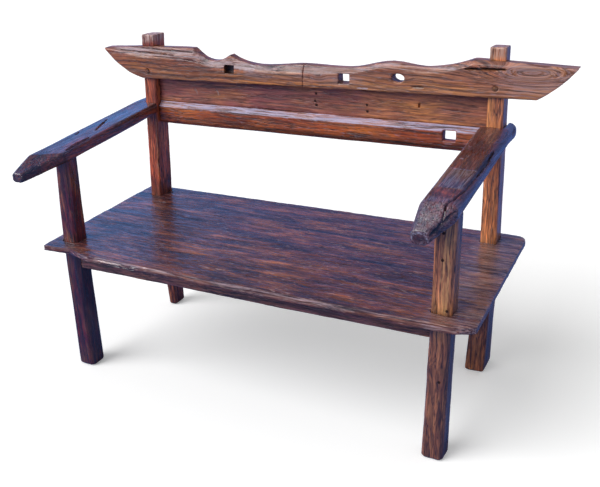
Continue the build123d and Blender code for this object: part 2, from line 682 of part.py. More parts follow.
# Arms on their posts
arm_pegs = []
arms = {}
for name, arm, back_name in (("left_arm", left, "back_left_post"), ("right_arm", right, "back_right_post")):
    head = arm.bearing()
    timber = arm.timber() - arm.housing()
    timber -= arm.front.shaft(head - arm.thick, head, JOINT_GAP, JOINT_GAP, JOINT_GAP, JOINT_GAP)
    timber -= arm.post_tenon(JOINT_GAP)
    timber += arm.back_tenon()
    posts[back_name] -= arm.back_tenon(JOINT_GAP)
    for piece, hole in arm.pegs():
        arm_pegs.append(piece)
        timber -= hole
        posts[back_name] -= hole
    arms[name] = timber

# Rails under the seat: aprons run along X and side rails along Y
front_apron_y = (front_left.at(APRON_LEVEL).y + front_right.at(APRON_LEVEL).y) / 2
back_apron_y = back_left.at(APRON_LEVEL).y
left_rail_x = (front_left.at(APRON_LEVEL).x + back_left.at(APRON_LEVEL).x) / 2 - SIDE_RAIL_OUT
right_rail_x = (front_right.at(APRON_LEVEL).x + back_right.at(APRON_LEVEL).x) / 2 + SIDE_RAIL_OUT
tenon_heights = (APRON_UNDER + APRON_TENON_SHOULDER, SEAT_UNDER - APRON_TENON_SHOULDER)


def turn(along_x, u, v, z):
    """Return a point from its places along a rail, across it and above the floor."""
    return (u, v, z) if along_x else (v, u, z)


def rail_block(along_x, reach, middle, thick, heights, grow=0.0):
    """Return a bar from its two ends, the line that it lies on, its thickness and its heights."""
    low = turn(along_x, reach[0], middle - thick / 2, heights[0])
    high = turn(along_x, reach[1], middle + thick / 2, heights[1])
    return block(low, high, grow)


apron_pegs = []
under = {}
for name, along_x, ends, middle, thick, peg_side in (
    ("front_apron", True, ("front_left_post", "front_right_post"), front_apron_y, APRON_THICK, 1),
    ("back_apron", True, ("back_left_post", "back_right_post"), back_apron_y, APRON_THICK, -1),
    ("left_side_rail", False, ("front_left_post", "back_left_post"), left_rail_x, SIDE_RAIL_THICK, 1),
    ("right_side_rail", False, ("front_right_post", "back_right_post"), right_rail_x, SIDE_RAIL_THICK, -1),
):
    sections = [lines[end].at(APRON_LEVEL) for end in ends]
    reach = [s.x if along_x else s.y for s in sections]
    bar = rail_block(along_x, reach, middle, thick, (APRON_UNDER, SEAT_UNDER))
    peg_level = APRON_LEVEL + (APRON_PEG_STEP if along_x else -APRON_PEG_STEP)
    for end, inward in zip(ends, (1, -1)):
        post = lines[end]
        shaft = post.shaft(FOOT_BEVEL, SEAT_HEIGHT)
        bar -= shaft
        wall = post.side(APRON_LEVEL, inward) if along_x else post.face(APRON_LEVEL, inward)
        tenon_reach = sorted((wall - inward * APRON_TENON_LENGTH, wall + inward * thick))
        bar += rail_block(along_x, tenon_reach, middle, APRON_TENON_THICK, tenon_heights)
        posts[end] -= rail_block(along_x, tenon_reach, middle, APRON_TENON_THICK, tenon_heights, JOINT_GAP)
        outside = post.face(peg_level, peg_side) if along_x else post.side(peg_level, peg_side)
        peg_start = turn(along_x, wall - inward * APRON_TENON_LENGTH / 2, outside, peg_level)
        peg_length = abs(outside - middle) + APRON_TENON_THICK / 2 + APRON_PEG_BITE
        piece, hole = peg(peg_start, turn(along_x, 0, -peg_side, 0), peg_length, APRON_PEG_DIAMETER)
        apron_pegs.append(piece & shaft)
        bar -= hole
        posts[end] -= hole
    under[name] = bar

# Flat bearer under the middle of the seat, tenoned into both aprons
batten_reach = (front_apron_y + APRON_THICK / 2, back_apron_y - APRON_THICK / 2)
batten_heights = (SEAT_UNDER - BATTEN_THICK, SEAT_UNDER)
seat_batten = rail_block(False, batten_reach, POST_MIDDLE, BATTEN_WIDTH, batten_heights)
batten_tenon_reach = (batten_reach[0] - BATTEN_TENON_LENGTH, batten_reach[1] + BATTEN_TENON_LENGTH)
batten_tenon_width = BATTEN_WIDTH - 2 * BATTEN_TENON_THICK
batten_tenon_low = SEAT_UNDER - (BATTEN_THICK + BATTEN_TENON_THICK) / 2
batten_tenon = (
    False, batten_tenon_reach, POST_MIDDLE, batten_tenon_width,
    (batten_tenon_low, batten_tenon_low + BATTEN_TENON_THICK),
)
seat_batten += rail_block(*batten_tenon)
for name in ("front_apron", "back_apron"):
    under[name] -= rail_block(*batten_tenon, JOINT_GAP)

# Seat board, with its broken corner, its splintered bite and the four posts' holes
seat_left = LEFT_LINE - SEAT_LEFT_OVERHANG
seat_right = RIGHT_LINE + SEAT_RIGHT_OVERHANG


def front_edge(x, depth=0.0):
    """Return a point on the left part of the seat's swept front edge, or a depth behind it."""
    share = (x - seat_left) / (POST_MIDDLE - seat_left)
    return (x, SEAT_FRONT + between(SEAT_FRONT_SWEEP, 0.0, share) + depth)


seat_plan = make_face(Polyline(
    front_edge(seat_left, SEAT_BITE_END_DEPTH),
    front_edge(seat_left + SEAT_BITE_DEEPEST, SEAT_BITE_DEPTH),
    front_edge(seat_left + SEAT_BITE_LENGTH),
    front_edge(POST_MIDDLE),
    (seat_right - SEAT_CHIP_LENGTH, SEAT_FRONT),
    (seat_right - SEAT_CHIP_KNEE[0], SEAT_FRONT + SEAT_CHIP_KNEE[1]),
    (seat_right, SEAT_FRONT + SEAT_CHIP_DEPTH),
    (seat_right, SEAT_BACK),
    (seat_left - SEAT_LEFT_SPLAY, SEAT_BACK),
    close=True,
))
seat_board = Pos(0, 0, SEAT_UNDER) * extrude(seat_plan, amount=SEAT_THICK, dir=(0, 0, 1))
upright_edges = seat_board.edges().filter_by(Axis.Z)
back_corner = upright_edges.sort_by_distance((seat_right, SEAT_BACK, SEAT_UNDER))[0]
seat_board = fillet(back_corner, SEAT_BACK_RADIUS)
for post in lines.values():
    seat_board -= post.shaft(
        SEAT_UNDER - SEAT_THICK, SEAT_HEIGHT + SEAT_THICK, SEAT_GAP, SEAT_GAP, SEAT_GAP, SEAT_GAP
    )

# Old nails in the panel and in the right front post
panel_nails = []
for offset, rise in PANEL_NAILS:
    piece, hole = nail((CREST_JOINT + offset, PANEL_FRONT, LEDGE_TOP + rise), PANEL_NAIL_LENGTH)
    panel_nails.append(piece)
    back_panel -= hole
post_nails = []
for offset, rise in POST_NAILS:
    z = SEAT_HEIGHT + rise
    piece, hole = nail((front_right.at(z).x + offset, front_right.face(z, -1), z), POST_NAIL_LENGTH)
    post_nails.append(piece)
    posts["front_right_post"] -= hole

nodes = {
    "seat_board": seat_board,
    **under,
    "seat_batten": seat_batten,
    **posts,
    **arms,
    "crest_left": crest_left,
    "crest_right": crest_right,
    "crest_tongue": crest_tongue,
    "back_panel": back_panel,
    "lower_back_rail": lower_back_rail,
    "crest_pegs": Compound(children=crest_pegs),
    "arm_pegs": Compound(children=arm_pegs),
    "apron_pegs": Compound(children=apron_pegs),
    "panel_nails": Compound(children=panel_nails),
    "post_nails": Compound(children=post_nails),
}

os.makedirs("parts", exist_ok=True)
for name, shape in nodes.items():
    export_step(shape, f"parts/{name}.step")
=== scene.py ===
"""Dress the rustic bench: hewn timbers under worn varnish, pegs, old nails and a pale studio.

Metres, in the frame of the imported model: +X is the right-hand end seen from the front, -Y is the front and
+Z is up. Sizes of marks and patterns are written in millimetres and turned to metres where they are used.
"""

import logging
import math
from dataclasses import dataclass
from enum import Enum

import bmesh
import bpy
import numpy as np
from mathutils import Matrix, Vector, noise


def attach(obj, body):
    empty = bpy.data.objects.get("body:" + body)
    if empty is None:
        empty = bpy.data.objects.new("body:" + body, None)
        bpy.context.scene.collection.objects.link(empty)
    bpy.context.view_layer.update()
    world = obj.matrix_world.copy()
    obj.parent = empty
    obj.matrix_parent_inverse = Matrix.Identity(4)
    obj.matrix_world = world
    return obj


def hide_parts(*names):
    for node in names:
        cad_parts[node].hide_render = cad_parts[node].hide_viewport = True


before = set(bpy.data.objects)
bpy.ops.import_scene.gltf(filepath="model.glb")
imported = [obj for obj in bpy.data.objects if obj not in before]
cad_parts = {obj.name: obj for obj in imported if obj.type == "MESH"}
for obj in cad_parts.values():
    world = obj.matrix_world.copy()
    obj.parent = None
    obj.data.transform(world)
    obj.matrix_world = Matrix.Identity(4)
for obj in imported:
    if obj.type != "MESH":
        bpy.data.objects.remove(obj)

LOG = logging.getLogger("bench")
MM = 0.001
WHITE = "#ffffff"
BODY = "root"
MERGE_DISTANCE = 0.01 * MM
FAR = 2000.0
GRID_FILL = 0.95  # largest share of the remesh grid that a timber fills
ARRIS_ANGLE = math.radians(48.0)  # edges sharper than this keep a crisp shade
TOP_SLOPE = 0.5  # upward part of a normal from which a point belongs to a top edge

# Tones that marks and stains lay on a timber, painted light and shade among them, each an attribute of its
# mesh
TONES = ("pale", "grime_and_shade", "gold", "sleek")

# Levels of noise between which each pattern of a timber rises
LINE_BAND = (0.004, 0.03)
PORE_BAND = (0.6, 0.7)
FLECK_BAND = (0.37, 0.28)
STREAK_BAND = (0.32, 0.55)
PATCH_BAND = (0.45, 0.7)
SCUFF_BAND = (0.4, 0.62)
BLOTCH_BAND = (0.35, 0.65)
FIBRE_BAND = (0.36, 0.64)
RUBBED_BAND = (0.43, 0.55)
RUBBED_LEAST = 0.05  # share of bare grey that reaches even the hollows between fibres

# How the fibres lie, and how deep pores and lines are beside them
GRAIN_ROUGHNESS = 0.65
DRIFT_MM = 200.0
HEART_MM = (-17.0, -41.0)
PORE_DEPTH = -1.2
LINE_DEPTH = -0.8
BUMP_STRENGTH = 0.8
VARNISH_IOR = 1.5

# How marks, knots, stains and painted light end: the least slope towards their face, a mark's core and taper,
# and fraying
MARK_SLOPE = 0.25
KNOT_SLOPE = 0.2
MARK_CORE = 0.15
MARK_FRAY = 0.4
TAPER_END = 0.08
BOX_FRAY = 0.3
FACING_FRAY = 0.05

# How corners are found and rubbed: noise cells in mm with their starts, smoothing rounds, and levels
RUB_MM, RUB_START = 26.0, 7.3
RAG_MM, RAG_START = 9.0, 3.1
NODE_SHIFT = 1.7  # sets the noise of timbers apart
RAG_SHARE = 0.5
EASE_FACTOR = 0.5
FLAT_ROUNDS = 8
SHARP_BAND = (0.12, 0.5)
WORN_BAND = (-0.15, 0.35)

# Places of a colour Mix node's sockets: the share, the colour under, the colour over, and the mixed colour
SHARE, UNDER, OVER, MIXED = 0, 6, 7, 2


class Grain(Enum):
    """The way a timber's fibres run: the axis along them, then the two across them."""

    ALONG_X = (0, 1, 2)
    ALONG_Y = (1, 2, 0)
    ALONG_Z = (2, 0, 1)


class Face(Enum):
    """A side of a timber: its outward axis, that axis's sign, and the two axes that lie in it."""

    TOP = (2, 1.0, (0, 1))
    FRONT = (1, -1.0, (0, 2))
    RIGHT = (0, 1.0, (1, 2))


def linear(colour: str) -> tuple[float, float, float, float]:
    """Turn an sRGB hex colour into linear RGBA.

    Args:
        colour: Six hex digits after a hash sign.

    Returns:
        The linear colour, with full alpha.
    """
    channels = [int(colour[i:i + 2], 16) / 255 for i in (1, 3, 5)]
    low = [c / 12.92 if c <= 0.04045 else ((c + 0.055) / 1.055) ** 2.4 for c in channels]
    return (*low, 1.0)


def add(tree: bpy.types.NodeTree, kind: str, feeds: dict | None = None,
        **settings: object) -> bpy.types.Node:
    """Add a node, set its properties, and link or set its sockets.

    Args:
        tree: The node tree that the node joins.
        kind: The node's type name.
        feeds: Sockets by name or place, each with a plain value or the output that feeds it.
        settings: Properties of the node itself.

    Returns:
        The new node.
    """
    node = tree.nodes.new(kind)
    for name, value in settings.items():
        setattr(node, name, value)
    for key, value in (feeds or {}).items():
        if isinstance(value, bpy.types.NodeSocket):
            tree.links.new(value, node.inputs[key])
        else:
            node.inputs[key].default_value = value
    return node


def fresh_tree(owner: bpy.types.ID) -> bpy.types.NodeTree:
    """Give a material or world an empty node tree and return it."""
    owner.use_nodes = True
    owner.node_tree.nodes.clear()
    return owner.node_tree


def smoothstep(low: float, high: float, value: np.ndarray) -> np.ndarray:
    """Rise smoothly from 0 to 1 between two levels.

    Args:
        low: The level of 0.
        high: The level of 1.
        value: The values to grade.

    Returns:
        The grades, of the same shape as the values.
    """
    t = np.clip((value - low) / (high - low), 0.0, 1.0)
    return t * t * (3.0 - 2.0 * t)


@dataclass(frozen=True)
class Figure:
    """The figure of a timber: the node outputs that draw its streaks, rings, fibres, pores and scuffs."""

    streak: bpy.types.NodeSocket
    patch: bpy.types.NodeSocket
    blotch: bpy.types.NodeSocket
    fibre: bpy.types.NodeSocket
    line: bpy.types.NodeSocket
    pore: bpy.types.NodeSocket
    fleck: bpy.types.NodeSocket
    scuff: bpy.types.NodeSocket
    ring: bpy.types.NodeSocket


@dataclass(frozen=True)
class VarnishedTimber:
    """Reclaimed teak, hewn by hand and rubbed with dark varnish that has worn.

    The eye sees long streaks along the fibres from nearly black to orange, rings that close to ovals round
    knots, short dark pores and pale scratches, bare grey fibres where hands and weather wore the varnish off,
    and a gloss that mirrors the sky where the varnish is whole and dulls where it is scuffed.

    Deep, body and warm are the wood's tones from dark to golden. Pale is bare fibre and also painted
    highlight, and dark is soot and also the colour of painted shade. A pair in mm is the length and width of
    a pattern's cells, a depth is how much the pattern shades the wood, and a share is how much of its colour
    shows. Ripple is how strongly the blotches wave the varnish.
    """

    name: str
    grain: Grain
    deep: str
    body: str
    warm: str
    pale: str
    dark: str = "#120a0b"
    ring_mm: float = 10.0
    heart_lean: float = 0.06
    streak_mm: tuple[float, float] = (420.0, 17.0)
    patch_mm: tuple[float, float] = (240.0, 80.0)
    blotch_mm: tuple[float, float] = (75.0, 15.0)
    # Real fibres are finer than a pixel of the render, so they are drawn this coarse.
    fibre_mm: tuple[float, float] = (95.0, 5.0)
    line_mm: tuple[float, float] = (300.0, 18.0)
    pore_mm: tuple[float, float] = (28.0, 3.2)
    scuff_mm: tuple[float, float] = (150.0, 12.0)
    wander_mm: float = 12.0
    fibre_depth: float = 0.55
    blotch_depth: float = 0.28
    ring_share: float = 0.3
    line_share: float = 0.75
    warm_share: float = 0.85
    pore_share: float = 0.6
    fleck_share: float = 0.25
    satin: float = 0.26
    rough: float = 0.62
    coat: float = 0.2
    coat_satin: float = 0.2
    relief_mm: float = 1.0
    ripple: float = 0.0

    def cells(self, tree: bpy.types.NodeTree, fibres: bpy.types.NodeSocket,
              size_mm: tuple[float, float], detail: float) -> bpy.types.NodeSocket:
        """Draw noise that is stretched along the fibres.

        Args:
            tree: The material's node tree.
            fibres: Places with the fibres along X.
            size_mm: The length and width of the noise's cells.
            detail: How many finer layers it has.

        Returns:
            The noise, about 0.5 on average.
        """
        along, across = (1.0 / (s * MM) for s in size_mm)
        spread = add(tree, "ShaderNodeVectorMath", {0: fibres, 1: (along, across, across)},
                     operation="MULTIPLY")
        feeds = {"Vector": spread.outputs[0], "Scale": 1.0, "Detail": detail, "Roughness": GRAIN_ROUGHNESS}
        return add(tree, "ShaderNodeTexNoise", feeds).outputs["Fac"]

    def fibres(self, tree: bpy.types.NodeTree) -> bpy.types.NodeSocket:
        """Give each place with X along the fibres, which wander a little and bend round knots.

        Args:
            tree: The material's node tree.

        Returns:
            The places.
        """
        place = add(tree, "ShaderNodeTexCoord").outputs["Object"]
        axes = add(tree, "ShaderNodeSeparateXYZ", {0: place}).outputs
        straight = add(tree, "ShaderNodeCombineXYZ", {i: axes[a] for i, a in enumerate(self.grain.value)})
        drift = add(tree, "ShaderNodeTexNoise", {
            "Vector": straight.outputs[0], "Scale": 1.0 / (DRIFT_MM * MM), "Detail": 2.0})
        centred = add(tree, "ShaderNodeVectorMath", {0: drift.outputs["Color"], 1: (0.5, 0.5, 0.5)},
                      operation="SUBTRACT")
        wander = self.wander_mm * MM / 0.5  # the centred noise reaches half a unit each way
        bent = add(tree, "ShaderNodeVectorMath",
                   {0: centred.outputs[0], 1: (0.0, wander, wander), 2: straight.outputs[0]},
                   operation="MULTIPLY_ADD")
        swirl = add(tree, "ShaderNodeAttribute", attribute_name="swirl").outputs["Fac"]
        aside = add(tree, "ShaderNodeCombineXYZ", {1: swirl, 2: swirl})
        return add(tree, "ShaderNodeVectorMath", {0: bent.outputs[0], 1: aside.outputs[0]}).outputs[0]

    def rings(self, tree: bpy.types.NodeTree, fibres: bpy.types.NodeSocket) -> bpy.types.NodeSocket:
        """Draw growth rings: bands of distance from the leaning heart of the tree.

        Args:
            tree: The material's node tree.
            fibres: Places with the fibres along X.

        Returns:
            How far each place lies in the dark part of a ring.
        """
        parts = add(tree, "ShaderNodeSeparateXYZ", {0: fibres}).outputs
        lean = add(tree, "ShaderNodeMath", {0: parts[0], 1: self.heart_lean, 2: parts[1]},
                   operation="MULTIPLY_ADD")
        cross = add(tree, "ShaderNodeCombineXYZ", {1: lean.outputs[0], 2: parts[2]})
        heart = (0.0, *(h * MM for h in HEART_MM))
        reach = add(tree, "ShaderNodeVectorMath", {0: cross.outputs[0], 1: heart}, operation="DISTANCE")
        turns = 2.0 * math.pi / (self.ring_mm * MM)
        phase = add(tree, "ShaderNodeMath", {0: reach.outputs["Value"], 1: turns}, operation="MULTIPLY")
        wave = add(tree, "ShaderNodeMath", {0: phase.outputs[0]}, operation="SINE")
        return add(tree, "ShaderNodeMapRange", {"Value": wave.outputs[0], "From Min": 0.0}).outputs[0]

    def figure(self, tree: bpy.types.NodeTree) -> Figure:
        """Draw all the timber's patterns.

        Args:
            tree: The material's node tree.

        Returns:
            The patterns.
        """
        fibres = self.fibres(tree)
        contour = self.cells(tree, fibres, self.line_mm, 3.0)
        offset = add(tree, "ShaderNodeMath", {0: contour, 1: 0.5}, operation="SUBTRACT")
        near = add(tree, "ShaderNodeMath", {0: offset.outputs[0]}, operation="ABSOLUTE")
        line = add(tree, "ShaderNodeMapRange", {
            "Value": near.outputs[0], "From Min": LINE_BAND[0], "From Max": LINE_BAND[1],
            "To Min": self.line_share, "To Max": 0.0})
        speck = self.cells(tree, fibres, self.pore_mm, 1.0)
        pore = add(tree, "ShaderNodeMapRange", {
            "Value": speck, "From Min": PORE_BAND[0], "From Max": PORE_BAND[1], "To Max": self.pore_share})
        fleck = add(tree, "ShaderNodeMapRange", {
            "Value": speck, "From Min": FLECK_BAND[0], "From Max": FLECK_BAND[1], "To Max": self.fleck_share})
        streak = add(tree, "ShaderNodeMapRange", {
            "Value": self.cells(tree, fibres, self.streak_mm, 4.0),
            "From Min": STREAK_BAND[0], "From Max": STREAK_BAND[1]})
        patch = add(tree, "ShaderNodeMapRange", {
            "Value": self.cells(tree, fibres, self.patch_mm, 2.0),
            "From Min": PATCH_BAND[0], "From Max": PATCH_BAND[1], "To Max": self.warm_share})
        scuff = add(tree, "ShaderNodeMapRange", {
            "Value": self.cells(tree, fibres, self.scuff_mm, 3.0),
            "From Min": SCUFF_BAND[0], "From Max": SCUFF_BAND[1]})
        return Figure(streak.outputs[0], patch.outputs[0], self.cells(tree, fibres, self.blotch_mm, 3.0),
                      self.cells(tree, fibres, self.fibre_mm, 4.0), line.outputs[0], pore.outputs[0],
                      fleck.outputs[0], scuff.outputs[0], self.rings(tree, fibres))

    def wood(self, tree: bpy.types.NodeTree, figure: Figure) -> bpy.types.NodeSocket:
        """Colour the sound wood: streaks, golden patches, rings, blotches, fibres, lines and pores.

        Args:
            tree: The material's node tree.
            figure: The timber's patterns.

        Returns:
            The colour under all wear.
        """
        ground = add(tree, "ShaderNodeMix", {SHARE: figure.streak, UNDER: linear(self.deep),
                                             OVER: linear(self.body)}, data_type="RGBA")
        gold = add(tree, "ShaderNodeAttribute", attribute_name="gold").outputs["Fac"]
        glow = add(tree, "ShaderNodeMath", {0: figure.patch, 1: figure.streak, 2: gold},
                   operation="MULTIPLY_ADD", use_clamp=True)
        warmed = add(tree, "ShaderNodeMix", {SHARE: glow.outputs[0], UNDER: ground.outputs[MIXED],
                                             OVER: linear(self.warm)}, data_type="RGBA")
        ring = add(tree, "ShaderNodeMath", {0: figure.ring, 1: self.ring_share}, operation="MULTIPLY")
        ringed = add(tree, "ShaderNodeMix", {SHARE: ring.outputs[0], UNDER: warmed.outputs[MIXED],
                                             OVER: linear(self.deep)}, data_type="RGBA")
        coarse = add(tree, "ShaderNodeMapRange", {
            "Value": figure.blotch, "From Min": BLOTCH_BAND[0], "From Max": BLOTCH_BAND[1],
            "To Min": 1.0 - self.blotch_depth, "To Max": 1.0 + self.blotch_depth})
        fine = add(tree, "ShaderNodeMapRange", {
            "Value": figure.fibre, "From Min": FIBRE_BAND[0], "From Max": FIBRE_BAND[1],
            "To Min": 1.0 - self.fibre_depth, "To Max": 1.0 + self.fibre_depth})
        shade = add(tree, "ShaderNodeMath", {0: coarse.outputs[0], 1: fine.outputs[0]}, operation="MULTIPLY")
        shaded = add(tree, "ShaderNodeVectorMath", {0: ringed.outputs[MIXED], "Scale": shade.outputs[0]},
                     operation="SCALE")
        lined = add(tree, "ShaderNodeMix", {SHARE: figure.line, UNDER: shaded.outputs[0],
                                            OVER: linear(self.dark)}, data_type="RGBA")
        pored = add(tree, "ShaderNodeMix", {SHARE: figure.pore, UNDER: lined.outputs[MIXED],
                                            OVER: linear(self.dark)}, data_type="RGBA")
        return pored.outputs[MIXED]

    def material(self) -> bpy.types.Material:
        """Build the finish as a material.

        Returns:
            The material, ready for a timber that has the attributes in TONES and swirl.
        """
        mat = bpy.data.materials.new(self.name)
        tree = fresh_tree(mat)
        figure = self.figure(tree)
        wood = self.wood(tree, figure)

        # Bare fibres, scratches and painted highlights over the wood, then grime and painted shade over both
        pale = add(tree, "ShaderNodeAttribute", attribute_name="pale").outputs["Fac"]
        rubbed = add(tree, "ShaderNodeMapRange", {
            "Value": figure.fibre, "From Min": RUBBED_BAND[0], "From Max": RUBBED_BAND[1],
            "To Min": RUBBED_LEAST, "To Max": 1.0})
        bare = add(tree, "ShaderNodeMath", {0: pale, 1: rubbed.outputs[0], 2: figure.fleck},
                   operation="MULTIPLY_ADD", use_clamp=True)
        worn = add(tree, "ShaderNodeMix", {SHARE: bare.outputs[0], UNDER: wood, OVER: linear(self.pale)},
                   data_type="RGBA")
        grime_and_shade = add(tree, "ShaderNodeAttribute", attribute_name="grime_and_shade").outputs["Fac"]
        colour = add(tree, "ShaderNodeMix", {SHARE: grime_and_shade, UNDER: worn.outputs[MIXED],
                                             OVER: linear(self.dark)}, data_type="RGBA")

        # Gloss: sleek varnish fills the fibres and is smooth, scuffed varnish and bare fibres are not
        sleek = add(tree, "ShaderNodeAttribute", attribute_name="sleek").outputs["Fac"]
        open_grain = add(tree, "ShaderNodeMath", {0: 1.0, 1: sleek}, operation="SUBTRACT")
        worst = add(tree, "ShaderNodeMath", {0: bare.outputs[0], 1: figure.scuff}, operation="MAXIMUM")
        matt = add(tree, "ShaderNodeMath", {0: worst.outputs[0], 1: open_grain.outputs[0]},
                   operation="MULTIPLY")
        rough = add(tree, "ShaderNodeMapRange", {"Value": matt.outputs[0], "To Min": self.satin,
                                                 "To Max": self.rough})
        pits = add(tree, "ShaderNodeMath", {0: figure.pore, 1: PORE_DEPTH, 2: figure.fibre},
                   operation="MULTIPLY_ADD")
        hollow = add(tree, "ShaderNodeMath", {0: figure.line, 1: LINE_DEPTH, 2: pits.outputs[0]},
                     operation="MULTIPLY_ADD")
        waves = add(tree, "ShaderNodeMath", {0: figure.blotch, 1: self.ripple, 2: hollow.outputs[0]},
                    operation="MULTIPLY_ADD")
        height = add(tree, "ShaderNodeMath", {0: waves.outputs[0], 1: open_grain.outputs[0]},
                     operation="MULTIPLY")
        bump = add(tree, "ShaderNodeBump", {"Strength": BUMP_STRENGTH, "Distance": self.relief_mm * MM,
                                            "Height": height.outputs[0]})
        shader = add(tree, "ShaderNodeBsdfPrincipled", {
            "Base Color": colour.outputs[MIXED], "Roughness": rough.outputs[0], "Normal": bump.outputs[0],
            "Coat Weight": self.coat, "Coat Roughness": self.coat_satin, "Coat Normal": bump.outputs[0],
            "IOR": VARNISH_IOR})
        add(tree, "ShaderNodeOutputMaterial", {0: shader.outputs[0]})
        return mat


@dataclass(frozen=True)
class OldIron:
    """Forged nails, rusted brown and rubbed: dull, nearly black, with rust in the pits."""

    name: str = "rusted_forged_iron"
    scale: str = "#1d1a1c"
    rust: str = "#5a3322"
    pit_mm: float = 1.6
    relief_mm: float = 0.4
    rust_band: tuple[float, float] = (0.42, 0.62)
    roughness: tuple[float, float] = (0.45, 0.85)
    metallic: float = 0.6
    bump: float = 0.7

    def material(self) -> bpy.types.Material:
        """Build the finish as a material."""
        mat = bpy.data.materials.new(self.name)
        tree = fresh_tree(mat)
        place = add(tree, "ShaderNodeTexCoord").outputs["Object"]
        pits = add(tree, "ShaderNodeTexNoise", {"Vector": place, "Scale": 1.0 / (self.pit_mm * MM),
                                                "Detail": 3.0})
        rusty = add(tree, "ShaderNodeMapRange", {"Value": pits.outputs["Fac"], "From Min": self.rust_band[0],
                                                 "From Max": self.rust_band[1]})
        colour = add(tree, "ShaderNodeMix", {SHARE: rusty.outputs[0], UNDER: linear(self.scale),
                                             OVER: linear(self.rust)}, data_type="RGBA")
        rough = add(tree, "ShaderNodeMapRange", {"Value": rusty.outputs[0], "To Min": self.roughness[0],
                                                 "To Max": self.roughness[1]})
        bump = add(tree, "ShaderNodeBump", {"Strength": self.bump, "Distance": self.relief_mm * MM,
                                            "Height": pits.outputs["Fac"]})
        shader = add(tree, "ShaderNodeBsdfPrincipled", {
            "Base Color": colour.outputs[MIXED], "Roughness": rough.outputs[0], "Normal": bump.outputs[0],
            "Metallic": self.metallic})
        add(tree, "ShaderNodeOutputMaterial", {0: shader.outputs[0]})
        return mat


@dataclass(frozen=True)
class Relief:
    """Hollows that an adze or the weather left: their depth, and their length and width, in mm."""

    depth: float
    along: float
    across: float


@dataclass(frozen=True)
class Mark:
    """A split, gouge, worn band, painted highlight or painted shade along a line on one face, in mm, and how
    dark, bare, golden or sleek it is.

    A blunt mark keeps its width to its ends, and any other tapers.
    """

    face: Face
    line: tuple[tuple[float, float], ...]
    width: float
    depth: float = 0.0
    grime_and_shade: float = 0.0
    pale: float = 0.0
    gold: float = 0.0
    sleek: float = 0.0
    blunt: bool = False

    def weight(self, places: np.ndarray, facing: np.ndarray, ragged: np.ndarray) -> np.ndarray:
        """Grade how far each point lies within the mark.

        Args:
            places: Points, in mm.
            facing: The points' normals.
            ragged: Noise at the points, which frays the mark's edge.

        Returns:
            A weight from 0 to 1 for each point.
        """
        axis, sign, flat = self.face.value
        spots = places[:, flat]
        points = np.array(self.line)
        lengths = np.linalg.norm(np.diff(points, axis=0), axis=1)
        starts = np.concatenate([[0.0], np.cumsum(lengths)])
        best = np.full(len(places), np.inf)
        along = np.zeros(len(places))
        for i, (a, b) in enumerate(zip(points, points[1:])):
            step = b - a
            t = np.clip(((spots - a) @ step) / (step @ step), 0.0, 1.0)
            gap = np.linalg.norm(spots - a - t[:, None] * step, axis=1)
            near = gap < best
            best[near] = gap[near]
            along[near] = starts[i] + t[near] * lengths[i]
        share = along / starts[-1]
        bow = math.pi * (TAPER_END + (1.0 - 2.0 * TAPER_END) * share)
        taper = 1.0 if self.blunt else np.sqrt(np.sin(bow))
        inside = 1.0 - smoothstep(MARK_CORE, 1.0, best / (0.5 * self.width * taper) + MARK_FRAY * ragged)
        return inside * (facing[:, axis] * sign > MARK_SLOPE)


@dataclass(frozen=True)
class Knot:
    """A knot on one face, in mm: its middle, half length and half width, rise, darkness and bent fibres."""

    face: Face
    middle: tuple[float, float]
    size: tuple[float, float]
    rise: float = 0.0
    grime_and_shade: float = 0.0
    swirl: float = 0.0
    spread: float = 1.6

    def weight(self, places: np.ndarray, facing: np.ndarray) -> tuple[np.ndarray, np.ndarray]:
        """Grade the knot itself and the bent fibres round it.

        Args:
            places: Points, in mm.
            facing: The points' normals.

        Returns:
            The weights of the knot and of the swirl round it.
        """
        axis, sign, flat = self.face.value
        away = np.linalg.norm((places[:, flat] - self.middle) / self.size, axis=1)
        on_face = facing[:, axis] * sign > KNOT_SLOPE
        return np.exp(-away ** 2) * on_face, np.exp(-(away / self.spread) ** 2) * on_face


@dataclass(frozen=True)
class StainAndPaintedLight:
    """A stain or painted light: a dark, bare, golden or sleek box in mm, how softly it ends, and how strong
    it is.
    """

    low: tuple[float, float, float]
    high: tuple[float, float, float]
    border: float = 30.0
    grime_and_shade: float = 0.0
    pale: float = 0.0
    gold: float = 0.0
    sleek: float = 0.0

    def weight(self, places: np.ndarray) -> np.ndarray:
        """Grade how far each point, in mm, lies within the box."""
        depth = np.minimum(places - self.low, self.high - places) / self.border
        return np.prod(smoothstep(-0.5, 0.5, depth), axis=1)


@dataclass(frozen=True)
class WeatheredAndLitSide:
    """Bare fibres and painted highlight on sides facing a way: from which slope they start and where they are
    full.
    """

    way: tuple[float, float, float]
    start: float
    full: float
    amount: float = 1.0


ADZED = (Relief(1.6, 240.0, 70.0), Relief(0.8, 110.0, 26.0), Relief(0.4, 90.0, 10.0))
PLANED = (Relief(1.0, 300.0, 90.0), Relief(0.5, 120.0, 18.0), Relief(0.3, 80.0, 9.0))


def noise_at(cells: np.ndarray) -> np.ndarray:
    """Give smooth noise, from -1 to 1, at points whose cells are one unit wide."""
    return np.array([noise.noise(Vector(c)) for c in cells])


